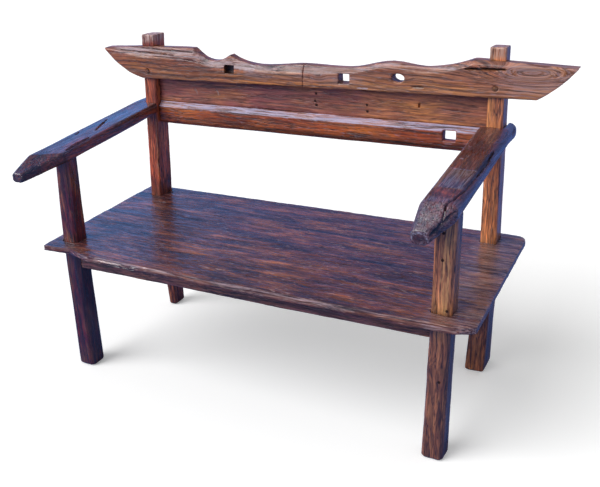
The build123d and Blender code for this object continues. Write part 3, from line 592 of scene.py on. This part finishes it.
@dataclass
class Timber:
    """One timber: a fine copy of its solid, hewn along the fibres, marked and dressed.

    Voxel is the copy's mesh size, and chips is how much the corners are knocked about, both in mm. Worn is
    how bare the corners are, and soften is how often the corners are eased. Lift is how far, in mm, the top
    edge rises to keep the joint over it closed where hewing wore both sides away.
    """

    node: str
    slot: str
    finish: VarnishedTimber
    voxel: float = 2.5
    reliefs: tuple[Relief, ...] = ADZED
    marks: tuple[Mark, ...] = ()
    knots: tuple[Knot, ...] = ()
    stains_and_painted_light: tuple[StainAndPaintedLight, ...] = ()
    weathered_and_lit_sides: tuple[WeatheredAndLitSide, ...] = ()
    worn: float = 0.15
    chips: float = 0.8
    soften: int = 1
    lift: float = 0.0

    def fine_copy(self) -> bpy.types.Object:
        """Copy the solid with an even, fine mesh.

        Returns:
            The new object, linked to the scene.
        """
        mesh = bpy.data.meshes.new(self.node + "_hewn")
        shape = bmesh.new()
        shape.from_mesh(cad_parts[self.node].data)
        bmesh.ops.remove_doubles(shape, verts=shape.verts, dist=MERGE_DISTANCE)
        shape.to_mesh(mesh)
        shape.free()
        piece = bpy.data.objects.new(self.node + "_hewn", mesh)
        bpy.context.scene.collection.objects.link(piece)
        span = max(piece.dimensions)
        depth = math.ceil(math.log2(span / (GRID_FILL * self.voxel * MM)))
        remesh = piece.modifiers.new("even", "REMESH")
        remesh.mode = "SHARP"
        remesh.octree_depth = depth
        remesh.scale = span / (self.voxel * MM * 2 ** depth)
        remesh.use_remove_disconnected = False
        graph = bpy.context.evaluated_depsgraph_get()
        even = bpy.data.meshes.new_from_object(piece.evaluated_get(graph))
        piece.modifiers.clear()
        piece.data = even
        even.name = self.node + "_hewn"
        bpy.data.meshes.remove(mesh)
        return piece

    def ease(self, mesh: bpy.types.Mesh) -> np.ndarray:
        """Ease the corners, and measure how sharp each point's surroundings are.

        Args:
            mesh: The timber's mesh, whose points move.

        Returns:
            A sharpness from 0, flat, to 1 for each point.
        """
        shape = bmesh.new()
        shape.from_mesh(mesh)
        sides = {"factor": EASE_FACTOR, "use_axis_x": True, "use_axis_y": True, "use_axis_z": True}
        for _ in range(self.soften):
            bmesh.ops.smooth_vert(shape, verts=shape.verts, **sides)
        shape.to_mesh(mesh)
        for _ in range(FLAT_ROUNDS):
            bmesh.ops.smooth_vert(shape, verts=shape.verts, **sides)
        flat = np.array([v.co for v in shape.verts]) / MM
        shape.free()
        rise = np.einsum("ij,ij->i", vertex_places(mesh) - flat, vertex_normals(mesh))
        return smoothstep(*SHARP_BAND, rise / self.voxel)

    def adzed(self, places: np.ndarray) -> np.ndarray:
        """Give the height of the hewn surface over the plain one.

        Args:
            places: Points, in mm.

        Returns:
            Heights, in mm.
        """
        order = list(self.finish.grain.value)
        offset = sum(map(ord, self.node)) * NODE_SHIFT
        height = np.zeros(len(places))
        for relief in self.reliefs:
            cells = places[:, order] / (relief.along, relief.across, relief.across) + offset
            height += relief.depth * noise_at(cells)
        return height

    def hew(self, mesh: bpy.types.Mesh) -> None:
        """Move the points; note where the timber is bare, grimy, golden, sleek or swirled, and its painted
        light and shade.

        Args:
            mesh: The timber's mesh.
        """
        corner = self.ease(mesh)
        places, facing = vertex_places(mesh), vertex_normals(mesh)
        rub = noise_at(places / RUB_MM + RUB_START)
        ragged = noise_at(places / RAG_MM + RAG_START)
        height = self.adzed(places) - self.chips * corner * (1.0 + rub + RAG_SHARE * ragged)
        tone = {name: np.zeros(len(places)) for name in (*TONES, "swirl")}
        tone["pale"] += self.worn * corner * smoothstep(*WORN_BAND, rub)
        # Sides that face a way turn pale: bare weathered fibres and a painted highlight where they face the
        # light
        for weather in self.weathered_and_lit_sides:
            towards = facing @ np.array(weather.way) + FACING_FRAY * ragged
            slope = smoothstep(weather.start, weather.full, towards)
            tone["pale"] += weather.amount * slope
        for tone_box in self.stains_and_painted_light:
            inside = tone_box.weight(places + BOX_FRAY * tone_box.border * rub[:, None])
            for name in TONES:
                tone[name] += getattr(tone_box, name) * inside
        for knot in self.knots:
            middle, round_it = knot.weight(places, facing)
            height += knot.rise * middle
            tone["grime_and_shade"] += knot.grime_and_shade * middle
            tone["swirl"] += knot.swirl * MM * round_it
        push = facing * height[:, None]
        push[:, 2] += self.lift * (facing[:, 2] > TOP_SLOPE)
        for mark in self.marks:
            inside = mark.weight(places, facing, ragged)
            axis, sign, _ = mark.face.value
            push[:, axis] -= sign * mark.depth * inside
            tone["pale"] *= 1.0 - mark.grime_and_shade * inside
            for name in TONES:
                tone[name] += getattr(mark, name) * inside
        placed = (places + push) * MM
        placed[:, 2] = np.maximum(placed[:, 2], 0.0)
        mesh.vertices.foreach_set("co", placed.ravel())
        for name, values in tone.items():
            layer = mesh.attributes.new(name, "FLOAT", "POINT")
            layer.data.foreach_set("value", np.clip(values, 0.0, 1.0))

    def build(self) -> bpy.types.Object:
        """Make the timber and hang it on the frame.

        Returns:
            The finished piece.
        """
        piece = self.fine_copy()
        mesh = piece.data
        self.hew(mesh)
        mesh.polygons.foreach_set("use_smooth", [True] * len(mesh.polygons))
        mesh.set_sharp_from_angle(angle=ARRIS_ANGLE)
        mesh.materials.clear()
        mesh.materials.append(self.finish.material())
        mesh.update()
        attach(piece, BODY)
        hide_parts(self.node)
        LOG.info("%s: %d faces", piece.name, len(mesh.polygons))
        return piece


def vertex_places(mesh: bpy.types.Mesh) -> np.ndarray:
    """Give a mesh's points in mm, one row each."""
    flat = np.empty(len(mesh.vertices) * 3)
    mesh.vertices.foreach_get("co", flat)
    return flat.reshape(-1, 3) / MM


def vertex_normals(mesh: bpy.types.Mesh) -> np.ndarray:
    """Give a mesh's outward directions at its points, one row each."""
    flat = np.empty(len(mesh.vertices) * 3)
    mesh.vertex_normals.foreach_get("vector", flat)
    return flat.reshape(-1, 3)


SEAT_TIMBER = VarnishedTimber("varnished_teak_seat", Grain.ALONG_X,
                              "#2c1416", "#6c3b33", "#9c5c30", "#c0a4a0",
                              streak_mm=(400.0, 30.0), patch_mm=(180.0, 60.0), blotch_mm=(110.0, 30.0),
                              fibre_mm=(130.0, 5.0), blotch_depth=0.5, pore_share=0.4, fleck_share=0.5,
                              warm_share=0.7, satin=0.1, rough=0.42, coat=0.5, coat_satin=0.1,
                              relief_mm=0.8, ripple=7.0, fibre_depth=0.5)
# Painted light: the aprons' tones are lighter than the seat's to make up for the shade under its overhang
UNDER_TIMBER = VarnishedTimber("teak_aprons_with_painted_light", Grain.ALONG_X,
                               "#47292b", "#84524b", "#9a623c", "#a4908c")
SIDE_TIMBER = VarnishedTimber("sooty_teak_side_rails", Grain.ALONG_Y,
                              "#2a181b", "#553635", "#74472f", "#94807c")
FRONT_LEFT_TIMBER = VarnishedTimber("dark_teak_round_post", Grain.ALONG_Z,
                                    "#2c0608", "#7a1c18", "#a4683c", "#a58671",
                                    patch_mm=(120.0, 40.0), coat=1.0, coat_satin=0.12)
BACK_LEFT_TIMBER = VarnishedTimber("red_teak_post", Grain.ALONG_Z,
                                   "#6e2f24", "#c25d3a", "#d27c4c", "#d0b0a2",
                                   pore_share=0.4)
# dark here is also the colour of the painted shade under the seat and on the right-hand sides
FRONT_RIGHT_TIMBER = VarnishedTimber("tan_teak_post", Grain.ALONG_Z,
                                     "#663a2a", "#bd7850", "#d69c60", "#c99a64",
                                     dark="#1c1016", coat=0.6, coat_satin=0.12, fibre_depth=0.58)
BACK_RIGHT_TIMBER = VarnishedTimber("orange_teak_post", Grain.ALONG_Z,
                                    "#8a4a2a", "#dc8450", "#e49a56", "#c8a690",
                                    dark="#1c1016", coat=0.6, coat_satin=0.12, pore_share=0.4)
LEFT_ARM_TIMBER = VarnishedTimber("dark_teak_arm", Grain.ALONG_Y, "#26101a", "#522e2b", "#8c3f29", "#a8a4b8",
                                  satin=0.14, coat=1.0, coat_satin=0.1)
RIGHT_ARM_TIMBER = VarnishedTimber("red_teak_arm", Grain.ALONG_Y, "#2c1010", "#602c24", "#8c3f29", "#a8a4b8",
                                   fibre_mm=(140.0, 4.5), fibre_depth=0.4, blotch_depth=0.18, satin=0.14,
                                   coat=0.7, coat_satin=0.1)
CREST_TIMBER = VarnishedTimber("golden_teak_crest", Grain.ALONG_X, "#66381f", "#a65f3e", "#b87438", "#b6a4aa",
                               fibre_mm=(160.0, 4.5), fibre_depth=0.48, blotch_depth=0.15, line_share=0.5,
                               pore_share=0.25, ring_mm=14.0, ring_share=0.75, coat=0.4)
PANEL_TIMBER = VarnishedTimber("red_teak_panel", Grain.ALONG_X, "#6a3433", "#a05c52", "#c07a42", "#b09a94",
                               fibre_mm=(160.0, 4.5), fibre_depth=0.42, blotch_depth=0.2, line_share=0.5,
                               pore_share=0.3)
RAIL_TIMBER = VarnishedTimber("orange_teak_rail", Grain.ALONG_X, "#54220a", "#a24a1e", "#c26a26", "#b0aac6",
                              fibre_mm=(160.0, 4.5), pore_share=0.4)
PEG_TIMBER = VarnishedTimber("split_teak_pegs", Grain.ALONG_Y, "#4a2c1c", "#7d4f34", "#94632f", "#9c8577")


@dataclass
class Seat:
    """The seat board and the rails and batten under it."""

    board_voxel: float = 4.5
    rail_voxel: float = 4.0
    marks: tuple[Mark, ...] = (
        Mark(Face.TOP, ((-568, 185), (-516, 200)), 26, 4.0, grime_and_shade=0.35),
        Mark(Face.TOP, ((-120, -212), (-106, -211)), 9, 0.6, pale=0.9),
        Mark(Face.TOP, ((-84, -205), (-52, -203)), 8, 0.6, pale=0.9),
        Mark(Face.TOP, ((-72, -157), (-60, -156)), 8, 0.6, pale=0.8),
        Mark(Face.TOP, ((103, -257), (131, -271)), 8, 0.8, pale=0.7),
        Mark(Face.TOP, ((120, -250), (171, -266)), 8, 0.8, pale=0.6),
        # The front arris: worn pale fibres and a painted highlight along the edge
        Mark(Face.TOP, ((-450, -273.5), (-300, -275.5), (-100, -278), (60, -279), (600, -279)), 7, 0.3,
             pale=0.85, blunt=True),
        Mark(Face.FRONT, ((-530, 425), (-470, 421), (-400, 425), (-340, 421), (-290, 425)), 9, 3.0,
             pale=0.95),
        Mark(Face.FRONT, ((-500, 416), (-310, 415)), 6, 2.0, grime_and_shade=0.7),
        # Painted light: the front face is paled and warmed so that it reads brighter than it is lit
        Mark(Face.FRONT, ((-300, 422), (640, 422)), 16, pale=0.28, gold=0.5, blunt=True),
    )
    knots: tuple[Knot, ...] = (
        Knot(Face.TOP, (-344, 101), (34, 12), 0.8, grime_and_shade=0.45, swirl=10.0),
        Knot(Face.TOP, (190, -208), (22, 16), -1.0, grime_and_shade=0.5, swirl=8.0),
        Knot(Face.TOP, (286, -109), (6, 5), -2.0, grime_and_shade=1.0),
        Knot(Face.TOP, (121, 43), (6, 5), -2.0, grime_and_shade=1.0),
        Knot(Face.TOP, (345, -1), (6, 5), -2.0, grime_and_shade=1.0),
        Knot(Face.TOP, (402, -67), (6, 5), -2.0, grime_and_shade=1.0),
    )
    stains_and_painted_light: tuple[StainAndPaintedLight, ...] = (
        StainAndPaintedLight((-260, -270, -FAR), (170, -60, FAR), 110.0, grime_and_shade=0.08, gold=0.15),
        # Painted reflection: a darker, browner patch where the back left post mirrors in the seat
        StainAndPaintedLight((-480, -60, -FAR), (-260, 160, FAR), 90.0, grime_and_shade=0.25, gold=0.2),
        StainAndPaintedLight((520, -FAR, -FAR), (FAR, FAR, FAR), 60.0, pale=0.28),
    )

    def build(self) -> None:
        """Make the board, its aprons, side rails and batten."""
        Timber("seat_board", "seat_timber", SEAT_TIMBER, self.board_voxel, PLANED, self.marks, self.knots,
               self.stains_and_painted_light, chips=1.0, soften=0).build()
        for node in ("front_apron", "back_apron"):
            Timber(node, "under_timber", UNDER_TIMBER, self.rail_voxel).build()
        for node in ("left_side_rail", "right_side_rail", "seat_batten"):
            Timber(node, "under_timber", SIDE_TIMBER, self.rail_voxel).build()


@dataclass
class Posts:
    """The four posts: darker under the seat with painted shade, the back ones with bare heads over the crest.
    """

    seat_top: float = 430.0
    shade_border: float = 40.0
    foot_rise: float = 60.0
    foot_border: float = 60.0
    head_start: float = 955.0
    head_border: float = 20.0
    front_right_marks: tuple[Mark, ...] = (
        Mark(Face.FRONT, ((562, 655), (561, 440)), 38, pale=0.6, blunt=True),
        # Painted shade: the right-hand side, turned from the light, is darkened
        Mark(Face.RIGHT, ((-194, 0), (-194, 700)), 66, grime_and_shade=0.25, sleek=0.4, blunt=True),
    )
    back_right_marks: tuple[Mark, ...] = (
        # Painted shade: the right-hand side, turned from the light, is darkened
        Mark(Face.RIGHT, ((286, 0), (286, 990)), 96, grime_and_shade=0.3, sleek=0.4, blunt=True),
    )
    back_left_painted_highlights: tuple[Mark, ...] = (
        # Painted highlight: a golden stripe down the front right arris
        Mark(Face.FRONT, ((-580, 700), (-590, 500)), 10, pale=0.2, gold=0.8),
    )
    front_right_knots: tuple[Knot, ...] = (
        Knot(Face.FRONT, (532, 267), (14, 20), 1.0, grime_and_shade=0.3, swirl=9.0),
    )

    def build(self) -> None:
        """Make each post."""
        # Painted shade: each post is darker below the seat, which shades it; the back left one up to a little
        # over it
        below = ((-FAR, -FAR, -FAR), (FAR, FAR, self.seat_top), self.shade_border)
        above = ((-FAR, -FAR, self.head_start), (FAR, FAR, FAR), self.head_border)
        foot = StainAndPaintedLight((-FAR, -FAR, -FAR), (FAR, FAR, self.seat_top + self.foot_rise), self.foot_border,
                     grime_and_shade=0.55)
        Timber("front_left_post", "left_post_timber", FRONT_LEFT_TIMBER,
               stains_and_painted_light=(StainAndPaintedLight(*below, grime_and_shade=0.55, sleek=0.7),)).build()
        Timber("back_left_post", "left_post_timber", BACK_LEFT_TIMBER, marks=self.back_left_painted_highlights,
               stains_and_painted_light=(foot, StainAndPaintedLight(*above, pale=1.0))).build()
        Timber("front_right_post", "right_post_timber", FRONT_RIGHT_TIMBER,
               marks=self.front_right_marks, knots=self.front_right_knots,
               stains_and_painted_light=(StainAndPaintedLight(*below, grime_and_shade=0.45, sleek=0.4),)).build()
        Timber("back_right_post", "right_post_timber", BACK_RIGHT_TIMBER, marks=self.back_right_marks,
               stains_and_painted_light=(StainAndPaintedLight(*below, grime_and_shade=0.5, sleek=0.4), StainAndPaintedLight(*above, pale=0.75, grime_and_shade=0.12))).build()


@dataclass
class Arms:
    """The two hewn arms."""

    voxel: float = 2.4
    left_marks: tuple[Mark, ...] = (
        Mark(Face.TOP, ((-622, 56), (-606, 8), (-590, -40)), 9, 5.0, grime_and_shade=0.8),
        Mark(Face.TOP, ((-568, -99), (-570, -148), (-565, -200)), 16, 8.0, grime_and_shade=0.85),
        Mark(Face.TOP, ((-622, -93), (-627, -71)), 8, 3.0, grime_and_shade=0.6),
        Mark(Face.RIGHT, ((-200, 700), (230, 730)), 44, gold=0.6, blunt=True),
        Mark(Face.TOP, ((-606, 250), (-612, -200)), 90, sleek=0.6, blunt=True),
    )
    left_tip: StainAndPaintedLight = StainAndPaintedLight((-FAR, -FAR, -FAR), (FAR, -285, FAR), 30.0, grime_and_shade=0.4)
    right_marks: tuple[Mark, ...] = (
        Mark(Face.TOP, ((583, 93), (583, 3), (582, -64)), 10, 8.0, grime_and_shade=0.9),
        Mark(Face.TOP, ((582, -64), (577, -164)), 8, 4.0, grime_and_shade=0.5),
        Mark(Face.TOP, ((577, -164), (567, -227), (559, -248), (560, -299)), 8, 6.0, grime_and_shade=0.9),
        Mark(Face.FRONT, ((508, 650), (525, 650)), 26, grime_and_shade=0.5, blunt=True),
        Mark(Face.FRONT, ((498, 646), (502, 658), (516, 663), (531, 658), (535, 646)), 6,
             pale=0.7, blunt=True),
        Mark(Face.TOP, ((518, 101), (526, 98)), 7, 0.5, pale=0.9),
        Mark(Face.TOP, ((516, 18), (528, 14)), 7, 0.5, pale=0.9),
        Mark(Face.TOP, ((521, -183), (578, -206)), 22, gold=0.7),
        Mark(Face.TOP, ((503, -46), (577, -51)), 5, 1.0, pale=0.6, blunt=True),
        Mark(Face.TOP, ((580, 250), (580, 340)), 50, sleek=0.8, blunt=True),
        Mark(Face.RIGHT, ((-250, 705), (-271, 686), (-289, 667), (-297, 659), (-303, 654)), 8, 5.0,
             grime_and_shade=0.9),
    )
    right_wear_and_painted_sheen: tuple[StainAndPaintedLight, ...] = (
        # A pale grey facet: bare fibres, with a painted sheen of mirrored sky over its real gloss
        StainAndPaintedLight((496, -165, -FAR), (573, -52, FAR), 8.0, grime_and_shade=0.3, pale=0.35, sleek=1.0),
        # The nose: paled as a painted sheen, over its real gloss
        StainAndPaintedLight((-FAR, -FAR, -FAR), (FAR, -215, FAR), 14.0, pale=0.2, sleek=0.5),
    )
    right_knots: tuple[Knot, ...] = (
        Knot(Face.RIGHT, (-289, 667), (6, 6), -4.0, grime_and_shade=1.0),
        Knot(Face.RIGHT, (-278, 662), (6, 6), -4.0, grime_and_shade=1.0),
    )

    def build(self) -> None:
        """Make each arm."""
        Timber("left_arm", "arm_timber", LEFT_ARM_TIMBER, self.voxel, marks=self.left_marks,
               stains_and_painted_light=(self.left_tip,), worn=0.05).build()
        Timber("right_arm", "arm_timber", RIGHT_ARM_TIMBER, self.voxel, PLANED, self.right_marks,
               self.right_knots, self.right_wear_and_painted_sheen, worn=0.05, soften=2).build()


@dataclass
class Back:
    """The crest rail in two halves, the panel and the lower rail."""

    voxel: float = 2.4
    crest_marks: tuple[Mark, ...] = (
        # A pale band along the top front chamfer: bare weathered fibres and a painted highlight where it
        # faces the light
        Mark(Face.FRONT, ((-700, 934), (-648, 928), (-529, 923), (-412, 922), (-343, 904), (-278, 904),
                          (-201, 896)), 42, pale=0.6, blunt=True),
        Mark(Face.FRONT, ((-201, 896), (-22, 897), (65, 902), (159, 907)), 22, pale=0.35, blunt=True),
        Mark(Face.FRONT, ((159, 907), (254, 929), (336, 922), (434, 924)), 18, pale=0.45),
        Mark(Face.FRONT, ((-690, 927), (-600, 921), (-480, 917)), 6, 3.0, grime_and_shade=0.7),
        Mark(Face.FRONT, ((-650, 937), (-520, 931), (-410, 929)), 6, 3.0, grime_and_shade=0.7),
        Mark(Face.FRONT, ((-560, 911), (-450, 908), (-380, 899)), 5, 2.0, grime_and_shade=0.6),
        Mark(Face.FRONT, ((462, 926), (515, 928), (569, 929)), 9, 9.0, grime_and_shade=0.95),
        Mark(Face.FRONT, ((312, 867), (346, 869)), 7, 3.0, grime_and_shade=0.8),
        Mark(Face.FRONT, ((148, 854), (182, 855)), 8, 1.5, pale=0.95),
    )
    crest_knots: tuple[Knot, ...] = (
        Knot(Face.FRONT, (640, 922), (110, 24), 0.8, swirl=62.0, spread=1.0),
        Knot(Face.FRONT, (-368, 903), (16, 10), -1.5, grime_and_shade=0.5, swirl=6.0),
        Knot(Face.FRONT, (-165, 898), (14, 9), 1.5, grime_and_shade=0.4, swirl=6.0),
        Knot(Face.FRONT, (-135, 901), (12, 9), -1.5, grime_and_shade=0.6, swirl=6.0),
        Knot(Face.FRONT, (-105, 897), (14, 9), 1.5, grime_and_shade=0.4, swirl=6.0),
        Knot(Face.FRONT, (26, 878), (18, 10), 1.0, grime_and_shade=0.25, swirl=8.0),
    )
    crest_stains: tuple[StainAndPaintedLight, ...] = (
        StainAndPaintedLight((-FAR, -FAR, 820.0), (FAR, FAR, 882.0), 40.0, gold=0.35),
        StainAndPaintedLight((560, -FAR, 860.0), (FAR, FAR, FAR), 60.0, pale=0.25),
        StainAndPaintedLight((-294, 244, 870), (-260, 270, 897), 4.0, grime_and_shade=0.85),
        StainAndPaintedLight((60, -FAR, -FAR), (FAR, FAR, FAR), 200.0, gold=0.25, pale=0.08),
        StainAndPaintedLight((-FAR, -FAR, -FAR), (-330, FAR, 910), 60.0, grime_and_shade=0.12),
        StainAndPaintedLight((-150, -FAR, 892), (200, FAR, FAR), 12.0, grime_and_shade=0.2),
        StainAndPaintedLight((-220, -FAR, 862), (170, FAR, 890), 20.0, pale=0.2),
    )
    panel_lift: float = 3.5
    panel_gold: StainAndPaintedLight = StainAndPaintedLight((150, -FAR, -FAR), (FAR, FAR, FAR), 160.0, gold=0.4)
    panel_marks: tuple[Mark, ...] = (
        Mark(Face.FRONT, ((-432, 809), (-422, 793)), 9, 2.5, pale=0.8),
        Mark(Face.FRONT, ((-351, 811), (-342, 797)), 9, 2.5, pale=0.8),
        Mark(Face.FRONT, ((386, 829), (494, 815)), 12, 0.8, grime_and_shade=0.6),
        Mark(Face.FRONT, ((380, 806), (470, 800)), 10, 0.8, grime_and_shade=0.5),
    )
    rail_marks: tuple[Mark, ...] = (
        Mark(Face.FRONT, ((-491, 706), (-49, 698), (366, 697)), 18, 0.5, grime_and_shade=0.45),
    )
    rail_knots: tuple[Knot, ...] = (Knot(Face.FRONT, (-229, 763), (10, 5), -2.0, grime_and_shade=0.8),)
    # The ledge that faces up and forward: bare weathered fibres and a painted highlight where it catches the
    # light
    rail_ledge: WeatheredAndLitSide = WeatheredAndLitSide((0.0, -0.7, 0.71), 0.84, 0.96, 0.85)

    def build(self) -> None:
        """Make the crest's halves, the panel and the rail."""
        for node in ("crest_left", "crest_right"):
            Timber(node, "crest_timber", CREST_TIMBER, self.voxel, ADZED, self.crest_marks, self.crest_knots,
                   self.crest_stains).build()
        Timber("back_panel", "panel_timber", PANEL_TIMBER, self.voxel, PLANED, self.panel_marks,
               stains_and_painted_light=(self.panel_gold,), lift=self.panel_lift).build()
        Timber("lower_back_rail", "rail_timber", RAIL_TIMBER, self.voxel, ADZED, self.rail_marks,
               self.rail_knots, weathered_and_lit_sides=(self.rail_ledge,), soften=2).build()


@dataclass
class Fasteners:
    """The pegs, the crest's hidden tongue and the old nails, which keep their solids."""

    pegs: tuple[str, ...] = ("crest_pegs", "arm_pegs", "apron_pegs", "crest_tongue")
    nails: tuple[str, ...] = ("panel_nails", "post_nails")

    def dress(self) -> None:
        """Give each group its finish."""
        wood = PEG_TIMBER.material()
        iron = OldIron().material()
        for nodes, mat in ((self.pegs, wood), (self.nails, iron)):
            for node in nodes:
                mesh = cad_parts[node].data
                mesh.materials.clear()
                mesh.materials.append(mat)
                LOG.info("%s: dressed", node)


@dataclass
class Studio:
    """A pale floor, a soft sun, a sky that gloss mirrors, and the camera.

    The mirrored sky is clear blue to the left, and duller elsewhere. Light that the floor sends back is
    bluish, and only the eye sees the floor as white.
    """

    floor_half: float = 30.0
    floor_colour: str = WHITE
    floor_bounce: str = "#5a78c0"
    floor_lift: float = 0.22
    sun_way: tuple[float, float, float] = (-0.50, -0.62, 0.62)
    sun_strength: float = 2.6
    sun_spread: float = 50.0
    ambient: float = 0.42
    clear_sky: str = "#76aeff"
    dull_sky: str = "#617dc0"
    clear_way: tuple[float, float, float] = (-1.0, 0.0, 0.0)
    clear_start: float = 0.45
    clear_full: float = 0.60
    eye: tuple[float, float, float] = (0.988157, -1.848641, 1.314741)
    yaw: float = 26.371
    pitch: float = 22.739
    roll: float = -1.622
    focal_pixels: float = 779.715
    frame_width: int = 600
    sensor: float = 36.0

    def build(self) -> None:
        """Make the floor, the light and the camera."""
        self.lay_floor()
        self.light()
        self.aim()

    def lay_floor(self) -> None:
        """Lay the floor, which glows a little to the camera, so that it is white outside the shade."""
        mesh = bpy.data.meshes.new("floor")
        shape = bmesh.new()
        bmesh.ops.create_grid(shape, x_segments=1, y_segments=1, size=self.floor_half)
        shape.to_mesh(mesh)
        shape.free()
        floor = bpy.data.objects.new("floor", mesh)
        bpy.context.scene.collection.objects.link(floor)
        mat = bpy.data.materials.new("pale_paper_floor")
        tree = fresh_tree(mat)
        seen = add(tree, "ShaderNodeLightPath").outputs["Is Camera Ray"]
        tone = add(tree, "ShaderNodeMix", {SHARE: seen, UNDER: linear(self.floor_bounce),
                                           OVER: linear(self.floor_colour)}, data_type="RGBA")
        paper = add(tree, "ShaderNodeBsdfDiffuse", {"Color": tone.outputs[MIXED]})
        lift = add(tree, "ShaderNodeMath", {0: seen, 1: self.floor_lift}, operation="MULTIPLY")
        glow = add(tree, "ShaderNodeEmission", {"Color": linear(WHITE), "Strength": lift.outputs[0]})
        both = add(tree, "ShaderNodeAddShader", {0: paper.outputs[0], 1: glow.outputs[0]})
        add(tree, "ShaderNodeOutputMaterial", {0: both.outputs[0]})
        mesh.materials.append(mat)

    def light(self) -> None:
        """Hang the sun and the sky."""
        lamp = bpy.data.lights.new("soft_sun", "SUN")
        lamp.energy = self.sun_strength
        lamp.angle = math.radians(self.sun_spread)
        sun = bpy.data.objects.new("soft_sun", lamp)
        sun.rotation_mode = "QUATERNION"
        sun.rotation_quaternion = Vector(self.sun_way).to_track_quat("Z", "Y")
        bpy.context.scene.collection.objects.link(sun)
        world = bpy.data.worlds.new("pale_sky")
        bpy.context.scene.world = world
        tree = fresh_tree(world)
        path = add(tree, "ShaderNodeLightPath").outputs
        way = add(tree, "ShaderNodeTexCoord").outputs["Generated"]
        towards = add(tree, "ShaderNodeVectorMath", {0: way, 1: self.clear_way}, operation="DOT_PRODUCT")
        clear = add(tree, "ShaderNodeMapRange", {
            "Value": towards.outputs["Value"], "From Min": self.clear_start, "From Max": self.clear_full})
        blue = add(tree, "ShaderNodeMix", {SHARE: clear.outputs[0], UNDER: linear(self.dull_sky),
                                           OVER: linear(self.clear_sky)}, data_type="RGBA")
        white = add(tree, "ShaderNodeBackground", {"Color": linear(WHITE), "Strength": 1.0})
        shade = add(tree, "ShaderNodeBackground", {"Color": linear(WHITE), "Strength": self.ambient})
        sky = add(tree, "ShaderNodeBackground", {"Color": blue.outputs[MIXED], "Strength": 1.0})
        gloss = add(tree, "ShaderNodeMixShader", {
            0: path["Is Glossy Ray"], 1: shade.outputs[0], 2: sky.outputs[0]})
        both = add(tree, "ShaderNodeMixShader", {
            0: path["Is Camera Ray"], 1: gloss.outputs[0], 2: white.outputs[0]})
        add(tree, "ShaderNodeOutputWorld", {0: both.outputs[0]})
        bpy.context.scene.view_settings.view_transform = "Standard"

    def aim(self) -> None:
        """Set the camera at the photograph's eye point, looking the same way."""
        yaw, pitch, roll = (math.radians(a) for a in (self.yaw, self.pitch, self.roll))
        ahead = Vector((-math.sin(yaw) * math.cos(pitch), math.cos(yaw) * math.cos(pitch), -math.sin(pitch)))
        level = Vector((math.cos(yaw), math.sin(yaw), 0.0))
        down = ahead.cross(level)
        right = math.cos(roll) * level - math.sin(roll) * down
        low = math.sin(roll) * level + math.cos(roll) * down
        lens = bpy.data.cameras.new("eye")
        lens.sensor_fit = "HORIZONTAL"
        lens.sensor_width = self.sensor
        lens.lens = self.focal_pixels / self.frame_width * self.sensor
        camera = bpy.data.objects.new("eye", lens)
        turn = Matrix((right, -low, -ahead)).transposed().to_4x4()
        camera.matrix_world = Matrix.Translation(self.eye) @ turn
        bpy.context.scene.collection.objects.link(camera)
        bpy.context.scene.camera = camera


def main() -> None:
    """Build the bench piece by piece, then the studio round it, and note the sizes."""
    logging.basicConfig(level=logging.INFO, format="%(name)s: %(message)s")
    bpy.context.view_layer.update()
    Seat().build()
    Posts().build()
    Arms().build()
    Back().build()
    Fasteners().dress()
    Studio().build()


if __name__ == "__main__":
    main()
